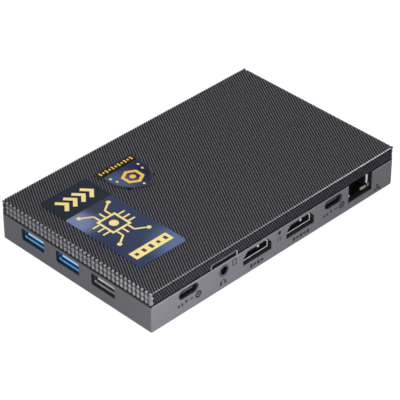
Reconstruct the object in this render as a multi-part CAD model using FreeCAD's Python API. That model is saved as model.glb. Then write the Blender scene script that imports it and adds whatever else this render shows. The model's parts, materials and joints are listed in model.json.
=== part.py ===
import FreeCAD, Part
import math
import os

# Fanless mini computer, millimetres. The origin is the middle of the rectangle that the part
# covers, on the plane that its feet stand on. +X runs along the long side and +Z is up. The long
# face with the video ports looks to -Y, and the short face with three data ports looks to -X.
V = FreeCAD.Vector

# Overall size
LENGTH = 131.0
WIDTH = 81.0
LID_TOP_Z = 18.2
SEAM_Z = 12.6
CORNER_R = 0.5
FOOT_PROUD = 0.65

# Case mouldings
BASE_INSET = 0.1
BASE_WALL = 1.8
BASE_FLOOR = 1.6
BASE_EDGE = 0.2
LID_WALL = 2.0
LID_ROOF = 1.7
LID_EDGE = 0.2
LIP_DROP = 1.2
LIP_THICK = 0.9
LIP_PLAY = 0.12
SHOULDER_RISE = 1.6
RIB_HIGH = 0.8
RIB_THICK = 1.0
RIB_PITCH_X = 25.0
RIB_PITCH_Y = 24.0
MATE = 0.1
STUB_SIDES = 12

# Screws that hold the case together, hidden under the feet
POST_INSET_X = 6.3
POST_INSET_Y = 6.3
POST_R = 3.4
POST_TOP_Z = 8.6
LEDGE_THICK = 1.6
LID_BOSS_R = 3.0
CASE_SCREW_R = 1.2
CASE_SCREW_LONG = 7.0
CASE_HEAD_R = 2.1
CASE_HEAD_HIGH = 1.5
FOOT_R = 4.0

# Threaded inserts for a bracket, on the underside
BRACKET_PITCH = 75.0
BRACKET_Y = 8.0
INSERT_R = 2.1
INSERT_BORE_R = 1.5
INSERT_LONG = 3.8
INSERT_WALL = 1.15

# Main board, which hangs from the lid with the connectors below it
BOARD_THICK = 1.2
BOARD_GAP = 0.35
BOARD_BELOW_SEAM = 0.3
BOARD_HOLE_INSET = 20.5
BOARD_BACK_INSET = 9.0
BOARD_FRONT_INSET = 19.5
BOARD_CARD_PITCH = 14.4
BOARD_LAN_PITCH = 13.75
BOARD_BOSS_R = 2.5
SMALL_SCREW_R = 0.95
SMALL_HEAD_R = 1.9
SMALL_HEAD_HIGH = 1.0
SMALL_SCREW_LONG = 4.2
DRIVE_LONG_SHARE = 1.2
DRIVE_WIDE = 0.5
DRIVE_DEEP = 0.4

# Heat path from the processor to the lid
SPREADER_END_INSET = 9.5
SPREADER_THICK = 1.5
SPREADER_ROOM = 2.1
SPREADER_CORNER = 2.0
FIN_COUNT = 7
FIN_GROOVE = 0.5
LID_PAD_LONG = 84.0
LID_PAD_WIDE = 26.0
PACKAGE_X = 6.0
PACKAGE_Y = 4.0
PACKAGE_LONG = 28.0
PACKAGE_WIDE = 24.0
PACKAGE_THICK = 0.8
DIE_LONG = 12.0
DIE_WIDE = 8.0
DIE_THICK = 0.5
PAD_MARGIN = 2.0

# Chips and other parts on the board
MEMORY_LONG = 9.0
MEMORY_WIDE = 12.4
MEMORY_THICK = 0.9
MEMORY_GAP = 2.0
STORAGE_LONG = 13.0
STORAGE_WIDE = 11.5
STORAGE_THICK = 1.0
STORAGE_INSET = 31.5
CHIP_SIDE = 7.0
CHIP_THICK = 0.85
INDUCTOR_SIDE = 5.6
INDUCTOR_HIGH = 1.8
INDUCTOR_PITCH = 7.4
INDUCTOR_INSET = 21.5
INDUCTOR_COUNT = 4
CAPACITOR_LONG = 3.5
CAPACITOR_WIDE = 2.8
CAPACITOR_HIGH = 1.6
CAPACITOR_PITCH = 4.6
CAPACITOR_COUNT = 6

# Radio module, antennas and their leads
RADIO_LONG = 12.0
RADIO_WIDE = 7.6
RADIO_THICK = 0.8
RADIO_INSET = 8.0
RADIO_CAN_LONG = 8.0
RADIO_CAN_WIDE = 6.8
RADIO_CAN_HIGH = 0.9
PLUG_R = 0.9
PLUG_HIGH = 0.8
LEAD_R = 0.45
ANTENNA_START_X = 8.5
ANTENNA_LONG = 30.0
ANTENNA_WIDE = 6.0
ANTENNA_THICK = 0.35
ANTENNA_INSET = 6.3
LEAD_FOOT_AT = 0.4
LEAD_TOP_AT = 2.2
LEAD_END_AT = 5.2
LEAD_SHIFT = 0.8

# Clock battery under the board
BATTERY_X = 6.0
BATTERY_Y = -6.0
BATTERY_R = 10.0
BATTERY_THICK = 3.2
HOLDER_PLATE = 0.5
HOLDER_RIM = 1.2
HOLDER_RIM_HIGH = 2.4

# Drive socket under the board and the stud that would hold the far end of a drive
SOCKET_Y = 17.0
SOCKET_LONG = 22.0
SOCKET_DEEP = 8.0
SOCKET_HIGH = 4.2
SOCKET_SLOT = 1.0
SOCKET_SLOT_DEEP = 5.0
DRIVE_LONG = 80.0
DRIVE_CLEAR = 2.2
STUD_R = 2.3
STUD_HIGH = 2.5
STUD_BORE_R = 0.8

# Data ports with flat mouths: three on the left face and one on the right face
USB_STAND = 0.19
USB_BACK_INSET = 16.9
USB_FRONT_INSET = 25.7
SIDE_USB_Y = -6.0
USB_HOLE_WIDE = 12.9
USB_HOLE_HIGH = 5.5
USB_HOLE_R = 0.5
USB_MOUTH_WIDE = 12.5
USB_MOUTH_HIGH = 5.12
USB_DEEP = 14.0
USB_TONGUE_WIDE = 11.1
USB_TONGUE_HIGH = 1.84
USB_TONGUE_SETBACK = 0.9
USB_TONGUE_LIFT = 0.72
USB_BLOCK_DEEP = 4.2
SHELL_THICK = 0.3
SHELL_GAP = 0.12
USB_CONTACT_PITCH = 2.3
USB_CONTACT_WIDE = 1.1
USB_CONTACT_HIGH = 0.12
USB_CONTACT_LONG = 6.5
USB_SLOT_DEEP = 0.25

# Video ports
VIDEO_STAND = 0.42
VIDEO_1_SHARE = -0.0809
VIDEO_2_SHARE = 0.0973
VIDEO_HOLE_WIDE = 15.4
VIDEO_HOLE_HIGH = 5.8
VIDEO_MOUTH_WIDE = 14.0
VIDEO_MOUTH_HIGH = 4.55
VIDEO_CUT_IN = 2.3
VIDEO_CUT_DOWN = 2.5
VIDEO_DEEP = 11.0
VIDEO_TONGUE_WIDE = 11.9
VIDEO_TONGUE_HIGH = 1.6
VIDEO_TONGUE_DROP = 0.3
VIDEO_TONGUE_SETBACK = 1.1
VIDEO_BLOCK_DEEP = 4.0

# Small oval ports
OVAL_END_INSET = 18.8
OVAL_LAN_PITCH = 15.65
OVAL_STAND = 0.02
OVAL_HOLE_WIDE = 9.5
OVAL_HOLE_HIGH = 3.6
OVAL_PLAY = 0.12
OVAL_FLAT = 0.004
OVAL_THICK = 0.25
OVAL_SETBACK = 0.5
OVAL_DEEP = 7.8
OVAL_TONGUE_WIDE = 6.7
OVAL_TONGUE_HIGH = 0.7
OVAL_TONGUE_SETBACK = 0.8
OVAL_BLOCK_DEEP = 2.2

# Headphone socket
AUDIO_SHARE = -0.2168
AUDIO_DROP = 2.3
AUDIO_NOSE_R = 2.65
AUDIO_NOSE_PLAY = 0.06
AUDIO_BORE_R = 1.8
AUDIO_BORE_LONG = 12.0
AUDIO_BODY_WIDE = 6.4
AUDIO_BODY_HIGH = 5.6
AUDIO_BODY_DEEP = 13.0
AUDIO_CHAMBER_R = 2.3
AUDIO_SPRING_THICK = 0.25

# Network socket
LAN_END_INSET = 18.75
LAN_HOLE_WIDE = 13.9
LAN_SILL = 0.5
LAN_WIDE = 15.0
LAN_BOTTOM_Z = 3.45
LAN_RISE = 0.35
LAN_DEEP = 15.5
LAN_SHIELD_THICK = 0.25
LAN_CAVITY_WIDE = 11.8
LAN_CAVITY_HIGH = 6.6
LAN_CAVITY_FLOOR = 1.1
LAN_CAVITY_DEEP = 11.5
LAN_LATCH_WIDE = 6.2
LAN_LATCH_HIGH = 0.9
LAN_CONTACT_COUNT = 8
LAN_CONTACT_PITCH = 1.02
LAN_CONTACT_WIDE = 0.4
LAN_CONTACT_THICK = 0.35
LAN_CONTACT_LIFT = 0.1
LAN_CONTACT_SLOPE = 0.4
LAN_LAMP_WIDE = 1.0
LAN_LAMP_HIGH = 1.6
LAN_LAMP_DEEP = 3.0

# Memory card socket on top of the board, above the headphone socket and behind a tab of the base
CARD_SLOT_WIDE = 12.0
CARD_SLOT_HIGH = 1.0
TAB_WIDE = 12.9
TAB_RISE = 0.95
TAB_PLAY = 0.1
CARD_SOCKET_WIDE = 14.5
CARD_SOCKET_DEEP = 14.6
CARD_SOCKET_HIGH = 1.95
CARD_FLOOR = 0.5
CARD_RAIL = 1.2
CARD_COVER_THICK = 0.18
CARD_SLIDER_WIDE = 4.6
CARD_SLIDER_BAR = 1.0
CARD_SLIDER_ARM = 0.7
CARD_SLIDER_ARM_LONG = 6.0
CARD_SLIDER_HIGH = 0.8
CARD_TRAVEL = 1.0

# Power key on the right face
POWER_INSET = 16.5
POWER_Z = 7.4
POWER_R = 3.0
POWER_PLAY = 0.1
POWER_PROUD = 0.1
POWER_DISH = 0.2
POWER_DISH_R = 2.3
POWER_FLANGE_HALF = 3.6
POWER_FLANGE_THICK = 0.9
POWER_STEM_HALF = 1.2
POWER_TRAVEL = 0.35
POWER_REST_GAP = 0.1
SWITCH_DEEP = 3.6
SWITCH_WIDE = 6.0
SWITCH_PLUNGER_HALF = 1.0
SWITCH_PLUNGER_OUT = 1.0
SWITCH_POCKET = 1.5
SWITCH_SETBACK = 5.45

# Status light beside the power key
LAMP_PITCH = 10.5
LAMP_R = 0.8
LAMP_FLANGE_HALF = 1.5
LAMP_FLANGE_THICK = 0.8

# Security lock slot on the right face, with a steel plate behind it
LOCK_INSET = 15.5
LOCK_WIDE = 7.0
LOCK_HIGH = 3.0
LOCK_PLATE_WIDE = 12.0
LOCK_PLATE_HIGH = 7.0
LOCK_PLATE_THICK = 1.0

# Recessed key behind the pinhole
PIN_SHARE = 0.0084
PIN_HOLE_R = 0.6
RESET_WIDE = 4.6
RESET_DEEP = 3.2
RESET_HIGH = 2.6
RESET_PLUNGER_WIDE = 2.0
RESET_PLUNGER_HIGH = 0.9
RESET_PLUNGER_OUT = 0.9
RESET_PLUNGER_IN = 1.2
RESET_TRAVEL = 0.25
RESET_PLAY = 0.1

# Stickers on the lid
STICKER_THICK = 0.1
INFO_END_INSET = 8.2
INFO_BACK_INSET = 12.0
INFO_WIDE = 23.6
INFO_LONG = 55.0
INFO_R = 1.3
BADGE_END_INSET = 45.3
BADGE_BACK_INSET = 12.1
BADGE_BAND_WIDE = 20.4
BADGE_BAND_HIGH = 4.6
BADGE_BODY_WIDE = 18.6
BADGE_SIDE_HIGH = 6.2
BADGE_TIP_HIGH = 9.6

# Places that follow from the sizes above
BASE_LONG = LENGTH - 2 * BASE_INSET
BASE_WIDE = WIDTH - 2 * BASE_INSET
BASE_HALF_X = BASE_LONG / 2
BASE_HALF_Y = BASE_WIDE / 2
FLOOR_TOP_Z = FOOT_PROUD + BASE_FLOOR
ROOF_Z = LID_TOP_Z - LID_ROOF
BOARD_TOP_Z = SEAM_Z - BOARD_BELOW_SEAM
BOARD_BOTTOM_Z = BOARD_TOP_Z - BOARD_THICK
SPREADER_BOTTOM_Z = BOARD_TOP_Z + SPREADER_ROOM
LAN_X = LENGTH / 2 - LAN_END_INSET
OVAL_1_X = OVAL_END_INSET - LENGTH / 2
OVAL_2_X = LAN_X - OVAL_LAN_PITCH
VIDEO_1_X = VIDEO_1_SHARE * LENGTH
VIDEO_2_X = VIDEO_2_SHARE * LENGTH
AUDIO_X = AUDIO_SHARE * LENGTH
CARD_X = AUDIO_X
PIN_X = PIN_SHARE * LENGTH
USB_BACK_Y = WIDTH / 2 - USB_BACK_INSET
USB_FRONT_Y = USB_FRONT_INSET - WIDTH / 2
POWER_Y = WIDTH / 2 - POWER_INSET
LAMP_Y = POWER_Y - LAMP_PITCH
LOCK_Y = LOCK_INSET - WIDTH / 2
INFO_X0 = INFO_END_INSET - LENGTH / 2
INFO_Y0 = WIDTH / 2 - INFO_BACK_INSET - INFO_LONG
BADGE_X = BADGE_END_INSET - LENGTH / 2
BADGE_TOP_Y = WIDTH / 2 - BADGE_BACK_INSET
BOARD_HOLE_X = LENGTH / 2 - BOARD_HOLE_INSET
BOARD_BACK_Y = WIDTH / 2 - BOARD_BACK_INSET
BOARD_FRONT_Y = BOARD_FRONT_INSET - WIDTH / 2
SPREADER_LONG = LENGTH - 2 * SPREADER_END_INSET
SPREADER_WIDE = BOARD_BACK_Y - BOARD_FRONT_Y
SPREADER_Y = (BOARD_BACK_Y + BOARD_FRONT_Y) / 2
RADIO_Y = WIDTH / 2 - RADIO_INSET
ANTENNA_Y = WIDTH / 2 - ANTENNA_INSET
INDUCTOR_X = INDUCTOR_INSET - LENGTH / 2
STORAGE_X = LENGTH / 2 - STORAGE_INSET
USB_Z = BOARD_BOTTOM_Z - USB_STAND - SHELL_THICK - USB_MOUTH_HIGH / 2
VIDEO_Z = BOARD_BOTTOM_Z - VIDEO_STAND - SHELL_THICK - VIDEO_MOUTH_HIGH / 2
OVAL_Z = BOARD_BOTTOM_Z - OVAL_STAND + OVAL_PLAY - OVAL_HOLE_HIGH / 2
AUDIO_Z = BOARD_BOTTOM_Z - AUDIO_DROP
LAN_TOP_Z = SEAM_Z + LAN_RISE
CARD_LOW_Z = BOARD_TOP_Z + CARD_FLOOR
CARD_Z = CARD_LOW_Z + MATE / 2 + CARD_SLOT_HIGH / 2
TAB_TOP_Z = CARD_Z + TAB_RISE
PIN_Z = BOARD_BOTTOM_Z - MATE - RESET_PLAY - RESET_PLUNGER_HIGH / 2
BOARD_LONG = BASE_LONG - 2 * (BASE_WALL + LIP_PLAY + LIP_THICK + BOARD_GAP)
BOARD_WIDE = BASE_WIDE - 2 * (BASE_WALL + LIP_PLAY + LIP_THICK + BOARD_GAP)
BOARD_FRONT_EDGE = -BOARD_WIDE / 2
POSTS = [(sx * (LENGTH / 2 - POST_INSET_X), sy * (WIDTH / 2 - POST_INSET_Y))
         for sx in (-1, 1) for sy in (-1, 1)]
BOARD_HOLES = [(-BOARD_HOLE_X, BOARD_BACK_Y), (BOARD_HOLE_X, BOARD_BACK_Y),
               (CARD_X + BOARD_CARD_PITCH, BOARD_FRONT_Y), (LAN_X - BOARD_LAN_PITCH, BOARD_FRONT_Y)]
USB_PORTS = {"usb3_port_1": ("left", USB_BACK_Y),
             "usb3_port_2": ("left", (USB_BACK_Y + USB_FRONT_Y) / 2),
             "usb2_port": ("left", USB_FRONT_Y),
             "side_usb3_port": ("right", SIDE_USB_Y)}
SHELL_SETBACK = BASE_WALL + SHELL_GAP
STUD_X = -BASE_HALF_X + SHELL_SETBACK + USB_DEEP + STUD_R + DRIVE_CLEAR
SOCKET_X = STUD_X + DRIVE_LONG - SOCKET_DEEP / 2
LIP_BOTTOM_Z = SEAM_Z - LIP_DROP


def block(x0, x1, y0, y1, z0, z1):
    return Part.makeBox(x1 - x0, y1 - y0, z1 - z0, V(x0, y0, z0))


def plate(x, y, wide, deep, z0, z1):
    return block(x - wide / 2, x + wide / 2, y - deep / 2, y + deep / 2, z0, z1)


def disc(x, y, radius, z0, z1):
    return Part.makeCylinder(radius, z1 - z0, V(x, y, z0))


# Screws, bosses and their holes repeat often, so they are prisms of many sides
def stub(x, y, radius, z0, z1):
    ring = [V(x + radius * math.cos(2 * math.pi * k / STUB_SIDES),
              y + radius * math.sin(2 * math.pi * k / STUB_SIDES), z0) for k in range(STUB_SIDES)]
    return Part.Face(Part.makePolygon(ring + ring[:1])).extrude(V(0, 0, z1 - z0))


def edges_along(shape, direction):
    found = []
    for edge in shape.Edges:
        if isinstance(edge.Curve, Part.Line) and abs(edge.Curve.Direction.dot(direction)) > 0.999:
            found.append(edge)
    return found


def upright(long, wide, radius, z0, z1):
    body = plate(0, 0, long, wide, z0, z1)
    return body.makeFillet(radius, edges_along(body, V(0, 0, 1)))


def rim_edges(shape, z):
    return [e for e in shape.Edges if abs(e.BoundBox.ZMin - z) < 1e-4 and abs(e.BoundBox.ZMax - z) < 1e-4]


def fused(first, *others):
    return first.fuse(list(others)).removeSplitter()


# A port is drawn in its own frame: X to the right as seen from outside, Z up from the middle of
# the mouth, and Y inward from the outer face of the base.
def bar(wide, high, corner, start, end):
    body = Part.makeBox(wide, end - start, high, V(-wide / 2, start, -high / 2))
    return body.makeChamfer(corner, edges_along(body, V(0, 1, 0)))


def square_bar(half, start, end):
    return Part.makeBox(2 * half, end - start, 2 * half, V(-half, start, -half))


def oval_bar(wide, high, start, end):
    body = Part.makeBox(wide, end - start, high, V(-wide / 2, start, -high / 2))
    return body.makeFillet((high - OVAL_FLAT) / 2, edges_along(body, V(0, 1, 0)))


def slab(x0, x1, start, end, z0, z1):
    return block(x0, x1, start, end, z0, z1)


def cut_corner_bar(wide, high, cut_in, cut_down, start, end):
    outline = [(-wide / 2, -high / 2), (wide / 2, -high / 2), (wide / 2, high / 2 - cut_down),
               (wide / 2 - cut_in, high / 2), (cut_in - wide / 2, high / 2),
               (-wide / 2, high / 2 - cut_down)]
    points = [V(x, start, z) for x, z in outline]
    face = Part.Face(Part.makePolygon(points + points[:1]))
    return face.extrude(V(0, end - start, 0))


def on_face(shape, face, along, height):
    moved = shape.copy()
    if face == "left":
        turn = FreeCAD.Rotation(V(0, 0, 1), -90)
        spot = V(-BASE_HALF_X, along, height)
    elif face == "right":
        turn = FreeCAD.Rotation(V(0, 0, 1), 90)
        spot = V(BASE_HALF_X, along, height)
    else:
        turn = FreeCAD.Rotation()
        spot = V(along, -BASE_HALF_Y, height)
    moved.Placement = FreeCAD.Placement(spot, turn).multiply(moved.Placement)
    return moved


def screw(x, y, head_bottom, head_r, head_high, shank_r, shank_long):
    head = stub(x, y, head_r, head_bottom, head_bottom + head_high)
    shank = stub(x, y, shank_r, head_bottom + head_high, head_bottom + head_high + shank_long)
    for wide, deep in ((DRIVE_LONG_SHARE * head_r, DRIVE_WIDE), (DRIVE_WIDE, DRIVE_LONG_SHARE * head_r)):
        head = head.cut(plate(x, y, wide, deep, head_bottom - MATE, head_bottom + DRIVE_DEEP))
    return head.fuse(shank)


# Case mouldings
def power_hole():
    return Part.makeCylinder(POWER_R + POWER_PLAY, BASE_WALL + 2 * MATE, V(0, -MATE, 0), V(0, 1, 0))


def port_cuts():
    through = BASE_WALL + MATE
    cuts = []
    for face, along in USB_PORTS.values():
        hole = bar(USB_HOLE_WIDE, USB_HOLE_HIGH, USB_HOLE_R, -MATE, through)
        cuts.append(on_face(hole, face, along, USB_Z))
    for along in (VIDEO_1_X, VIDEO_2_X):
        hole = cut_corner_bar(VIDEO_HOLE_WIDE, VIDEO_HOLE_HIGH, VIDEO_CUT_IN, VIDEO_CUT_DOWN,
                              -MATE, through)
        cuts.append(on_face(hole, "front", along, VIDEO_Z))
    for along in (OVAL_1_X, OVAL_2_X):
        hole = oval_bar(OVAL_HOLE_WIDE, OVAL_HOLE_HIGH, -MATE, through)
        cuts.append(on_face(hole, "front", along, OVAL_Z))
    audio = Part.makeCylinder(AUDIO_NOSE_R + AUDIO_NOSE_PLAY, through + MATE, V(0, -MATE, 0), V(0, 1, 0))
    cuts.append(on_face(audio, "front", AUDIO_X, AUDIO_Z))
    card = slab(-CARD_SLOT_WIDE / 2, CARD_SLOT_WIDE / 2, -MATE, through,
                -CARD_SLOT_HIGH / 2, CARD_SLOT_HIGH / 2)
    cuts.append(on_face(card, "front", CARD_X, CARD_Z))
    cuts.append(block(LAN_X - LAN_HOLE_WIDE / 2, LAN_X + LAN_HOLE_WIDE / 2, -BASE_HALF_Y - MATE,
                      -BASE_HALF_Y + through, LAN_BOTTOM_Z + LAN_SILL, SEAM_Z + MATE))
    pin = Part.makeCylinder(PIN_HOLE_R, through + MATE, V(0, -MATE, 0), V(0, 1, 0))
    cuts.append(on_face(pin, "front", PIN_X, PIN_Z))
    cuts.append(on_face(power_hole(), "right", POWER_Y, POWER_Z))
    lamp = Part.makeCylinder(LAMP_R, through + MATE, V(0, -MATE, 0), V(0, 1, 0))
    cuts.append(on_face(lamp, "right", LAMP_Y, POWER_Z))
    lock = bar(LOCK_WIDE, LOCK_HIGH, LOCK_HIGH * 0.2, -MATE, through)
    cuts.append(on_face(lock, "right", LOCK_Y, POWER_Z))
    return cuts


def make_bottom_case():
    outer = upright(BASE_LONG, BASE_WIDE, CORNER_R - BASE_INSET, FOOT_PROUD, SEAM_Z)
    outer = outer.makeChamfer(BASE_EDGE, rim_edges(outer, FOOT_PROUD))
    inner = plate(0, 0, BASE_LONG - 2 * BASE_WALL, BASE_WIDE - 2 * BASE_WALL, FLOOR_TOP_Z,
                  SEAM_Z + MATE)
    case = outer.cut(inner)
    tab = block(CARD_X - TAB_WIDE / 2, CARD_X + TAB_WIDE / 2, -BASE_HALF_Y, -BASE_HALF_Y + BASE_WALL,
                FLOOR_TOP_Z, TAB_TOP_Z)
    added = [tab]
    ribs_x = int(BASE_HALF_X / RIB_PITCH_X)
    for step in range(-ribs_x, ribs_x + 1):
        added.append(plate(step * RIB_PITCH_X, 0, RIB_THICK, BASE_WIDE - BASE_WALL,
                           FLOOR_TOP_Z - MATE, FLOOR_TOP_Z + RIB_HIGH))
    ribs_y = int(BASE_HALF_Y / RIB_PITCH_Y)
    for step in range(-ribs_y, ribs_y + 1):
        added.append(plate(0, step * RIB_PITCH_Y, BASE_LONG - BASE_WALL, RIB_THICK,
                           FLOOR_TOP_Z - MATE, FLOOR_TOP_Z + RIB_HIGH))
    for x, y in POSTS:
        added.append(stub(x, y, POST_R, FLOOR_TOP_Z - MATE, POST_TOP_Z))
    insert_top = FOOT_PROUD + INSERT_LONG
    for side in (-1, 1):
        added.append(stub(side * BRACKET_PITCH / 2, BRACKET_Y, INSERT_R + INSERT_WALL,
                          FLOOR_TOP_Z - MATE, insert_top + INSERT_WALL))
    case = case.fuse(added).removeSplitter()
    cuts = port_cuts()
    for x, y in POSTS:
        cuts.append(stub(x, y, CASE_HEAD_R + 2 * MATE, 0, POST_TOP_Z - LEDGE_THICK))
        cuts.append(stub(x, y, CASE_SCREW_R + MATE, 0, POST_TOP_Z + MATE))
    for side in (-1, 1):
        cuts.append(disc(side * BRACKET_PITCH / 2, BRACKET_Y, INSERT_R, 0, insert_top))
    return case.cut(cuts).removeSplitter()


def make_top_cover():
    outer = upright(LENGTH, WIDTH, CORNER_R, SEAM_Z, LID_TOP_Z)
    outer = outer.makeChamfer(LID_EDGE, rim_edges(outer, LID_TOP_Z))
    hollow_long = LENGTH - 2 * LID_WALL
    hollow_wide = WIDTH - 2 * LID_WALL
    hollow = plate(0, 0, hollow_long, hollow_wide, SEAM_Z - MATE, ROOF_Z)
    lip_long = BASE_LONG - 2 * (BASE_WALL + LIP_PLAY)
    lip_wide = BASE_WIDE - 2 * (BASE_WALL + LIP_PLAY)
    shoulder = plate(0, 0, hollow_long + MATE, hollow_wide + MATE, SEAM_Z, SEAM_Z + SHOULDER_RISE)
    lip = plate(0, 0, lip_long, lip_wide, LIP_BOTTOM_Z, SEAM_Z + MATE)
    room = plate(0, 0, lip_long - 2 * LIP_THICK, lip_wide - 2 * LIP_THICK, LIP_BOTTOM_Z - MATE,
                 SEAM_Z + SHOULDER_RISE + MATE)
    ring = shoulder.fuse(lip).cut(room)
    bosses = [stub(x, y, LID_BOSS_R, POST_TOP_Z, ROOF_Z + MATE) for x, y in POSTS]
    bosses += [stub(x, y, BOARD_BOSS_R, BOARD_TOP_Z, ROOF_Z + MATE) for x, y in BOARD_HOLES]
    lid = outer.cut(hollow).fuse([ring] + bosses)
    notch_half = TAB_WIDE / 2 + TAB_PLAY
    lan_half = LAN_WIDE / 2 + LAN_SHIELD_THICK + 2 * MATE
    cuts = [block(CARD_X - notch_half, CARD_X + notch_half, -WIDTH, -lip_wide / 2 + 2 * LIP_THICK,
                  LIP_BOTTOM_Z - MATE, TAB_TOP_Z + TAB_PLAY),
            block(LAN_X - lan_half, LAN_X + lan_half, -BASE_HALF_Y + BASE_WALL - MATE / 2,
                  -lip_wide / 2 + 2 * LIP_THICK, LIP_BOTTOM_Z - MATE,
                  LAN_TOP_Z + LAN_SHIELD_THICK + MATE)]
    cuts += [stub(x, y, CASE_SCREW_R + MATE / 2, POST_TOP_Z - MATE,
                  POST_TOP_Z - LEDGE_THICK + CASE_SCREW_LONG + MATE) for x, y in POSTS]
    cuts += [stub(x, y, SMALL_SCREW_R + MATE / 2, BOARD_TOP_Z - MATE,
                  BOARD_BOTTOM_Z + SMALL_SCREW_LONG + MATE) for x, y in BOARD_HOLES]
    return lid.cut(cuts).removeSplitter()


def make_feet():
    return Part.makeCompound([disc(x, y, FOOT_R, 0, FOOT_PROUD) for x, y in POSTS])


def make_case_screws():
    head_bottom = POST_TOP_Z - LEDGE_THICK - CASE_HEAD_HIGH
    return Part.makeCompound([screw(x, y, head_bottom, CASE_HEAD_R, CASE_HEAD_HIGH, CASE_SCREW_R,
                                    CASE_SCREW_LONG) for x, y in POSTS])


def make_bracket_inserts():
    inserts = []
    for side in (-1, 1):
        x = side * BRACKET_PITCH / 2
        body = disc(x, BRACKET_Y, INSERT_R, FOOT_PROUD, FOOT_PROUD + INSERT_LONG)
        bore = disc(x, BRACKET_Y, INSERT_BORE_R, 0, FOOT_PROUD + INSERT_LONG + MATE)
        inserts.append(body.cut(bore))
    return Part.makeCompound(inserts)


# Board and what is on it
def make_main_board():
    board = plate(0, 0, BOARD_LONG, BOARD_WIDE, BOARD_BOTTOM_Z, BOARD_TOP_Z)
    z0 = BOARD_BOTTOM_Z - MATE
    z1 = BOARD_TOP_Z + MATE
    cuts = []
    reach = LID_BOSS_R + 6 * MATE
    for x, y in POSTS:
        cuts.append(stub(x, y, reach, z0, z1))
        cuts.append(block(min(x, 2 * x), max(x, 2 * x), y - reach, y + reach, z0, z1))
        cuts.append(block(x - reach, x + reach, min(y, 2 * y), max(y, 2 * y), z0, z1))
    for x, y in BOARD_HOLES:
        cuts.append(stub(x, y, SMALL_SCREW_R + 2 * MATE, z0, z1))
    lan_half = LAN_WIDE / 2 + LAN_SHIELD_THICK + MATE
    cuts.append(block(LAN_X - lan_half, LAN_X + lan_half, -WIDTH,
                      -BASE_HALF_Y + SHELL_SETBACK + LAN_DEEP + LAN_SHIELD_THICK + MATE, z0, z1))
    audio_half = AUDIO_BODY_WIDE / 2 + MATE
    cuts.append(block(AUDIO_X - audio_half, AUDIO_X + audio_half, -WIDTH,
                      -BASE_HALF_Y + SHELL_SETBACK + AUDIO_BODY_DEEP + MATE, z0, z1))
    return board.cut(cuts)


def make_heat_spreader():
    top = SPREADER_BOTTOM_Z + SPREADER_THICK
    body = plate(0, SPREADER_Y, SPREADER_LONG, SPREADER_WIDE, SPREADER_BOTTOM_Z, top)
    body = body.makeChamfer(SPREADER_CORNER, edges_along(body, V(0, 0, 1)))
    cuts = [stub(x, y, BOARD_BOSS_R + 2 * MATE, SPREADER_BOTTOM_Z - MATE, top + MATE)
            for x, y in BOARD_HOLES]
    pitch = (SPREADER_LONG - LID_PAD_LONG) / 2 / (FIN_COUNT + 1)
    for side in (-1, 1):
        for step in range(FIN_COUNT):
            x = side * (LID_PAD_LONG / 2 + (step + 1) * pitch)
            cuts.append(plate(x, SPREADER_Y, pitch / 2, LID_PAD_WIDE, top - FIN_GROOVE, top + MATE))
    return body.cut(cuts)


def make_board_screws():
    return Part.makeCompound([screw(x, y, BOARD_BOTTOM_Z - SMALL_HEAD_HIGH, SMALL_HEAD_R,
                                    SMALL_HEAD_HIGH, SMALL_SCREW_R, SMALL_SCREW_LONG)
                              for x, y in BOARD_HOLES])


def make_heat_path():
    package_top = BOARD_TOP_Z + PACKAGE_THICK
    die_top = package_top + DIE_THICK
    package = plate(PACKAGE_X, PACKAGE_Y, PACKAGE_LONG, PACKAGE_WIDE, BOARD_TOP_Z, package_top)
    die = plate(PACKAGE_X, PACKAGE_Y, DIE_LONG, DIE_WIDE, package_top, die_top)
    margin = 2 * PAD_MARGIN
    die_pad = plate(PACKAGE_X, PACKAGE_Y, DIE_LONG + margin, DIE_WIDE + margin, die_top,
                    SPREADER_BOTTOM_Z)
    lid_pad = plate(0, SPREADER_Y, LID_PAD_LONG, LID_PAD_WIDE, SPREADER_BOTTOM_Z + SPREADER_THICK,
                    ROOF_Z)
    return {"processor": fused(package, die), "thermal_pads": Part.makeCompound([die_pad, lid_pad])}


def make_memory_chips():
    chips = []
    x = PACKAGE_X - PACKAGE_LONG / 2 - MEMORY_GAP - MEMORY_LONG / 2
    for column in range(2):
        for side in (-1, 1):
            y = PACKAGE_Y + side * (MEMORY_WIDE + MEMORY_GAP) / 2
            chips.append(plate(x - column * (MEMORY_LONG + MEMORY_GAP), y, MEMORY_LONG, MEMORY_WIDE,
                               BOARD_TOP_Z, BOARD_TOP_Z + MEMORY_THICK))
    return Part.makeCompound(chips)


def make_board_chips():
    spots = [(STORAGE_X, SPREADER_Y - SPREADER_WIDE / 3), (LAN_X, SPREADER_Y - SPREADER_WIDE / 3),
             (PACKAGE_X, SPREADER_Y - SPREADER_WIDE / 3 - CHIP_SIDE / 4)]
    chips = [plate(x, y, CHIP_SIDE, CHIP_SIDE, BOARD_TOP_Z, BOARD_TOP_Z + CHIP_THICK)
             for x, y in spots]
    chips.append(plate(STORAGE_X, PACKAGE_Y, STORAGE_LONG, STORAGE_WIDE, BOARD_TOP_Z,
                       BOARD_TOP_Z + STORAGE_THICK))
    return Part.makeCompound(chips)


def make_inductors():
    coils = []
    for step in range(INDUCTOR_COUNT):
        y = SPREADER_Y + (step - (INDUCTOR_COUNT - 1) / 2) * INDUCTOR_PITCH
        coil = plate(INDUCTOR_X, y, INDUCTOR_SIDE, INDUCTOR_SIDE, BOARD_TOP_Z, BOARD_TOP_Z + INDUCTOR_HIGH)
        coils.append(coil.makeChamfer(INDUCTOR_SIDE / 8, edges_along(coil, V(0, 0, 1))))
    return Part.makeCompound(coils)


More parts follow.
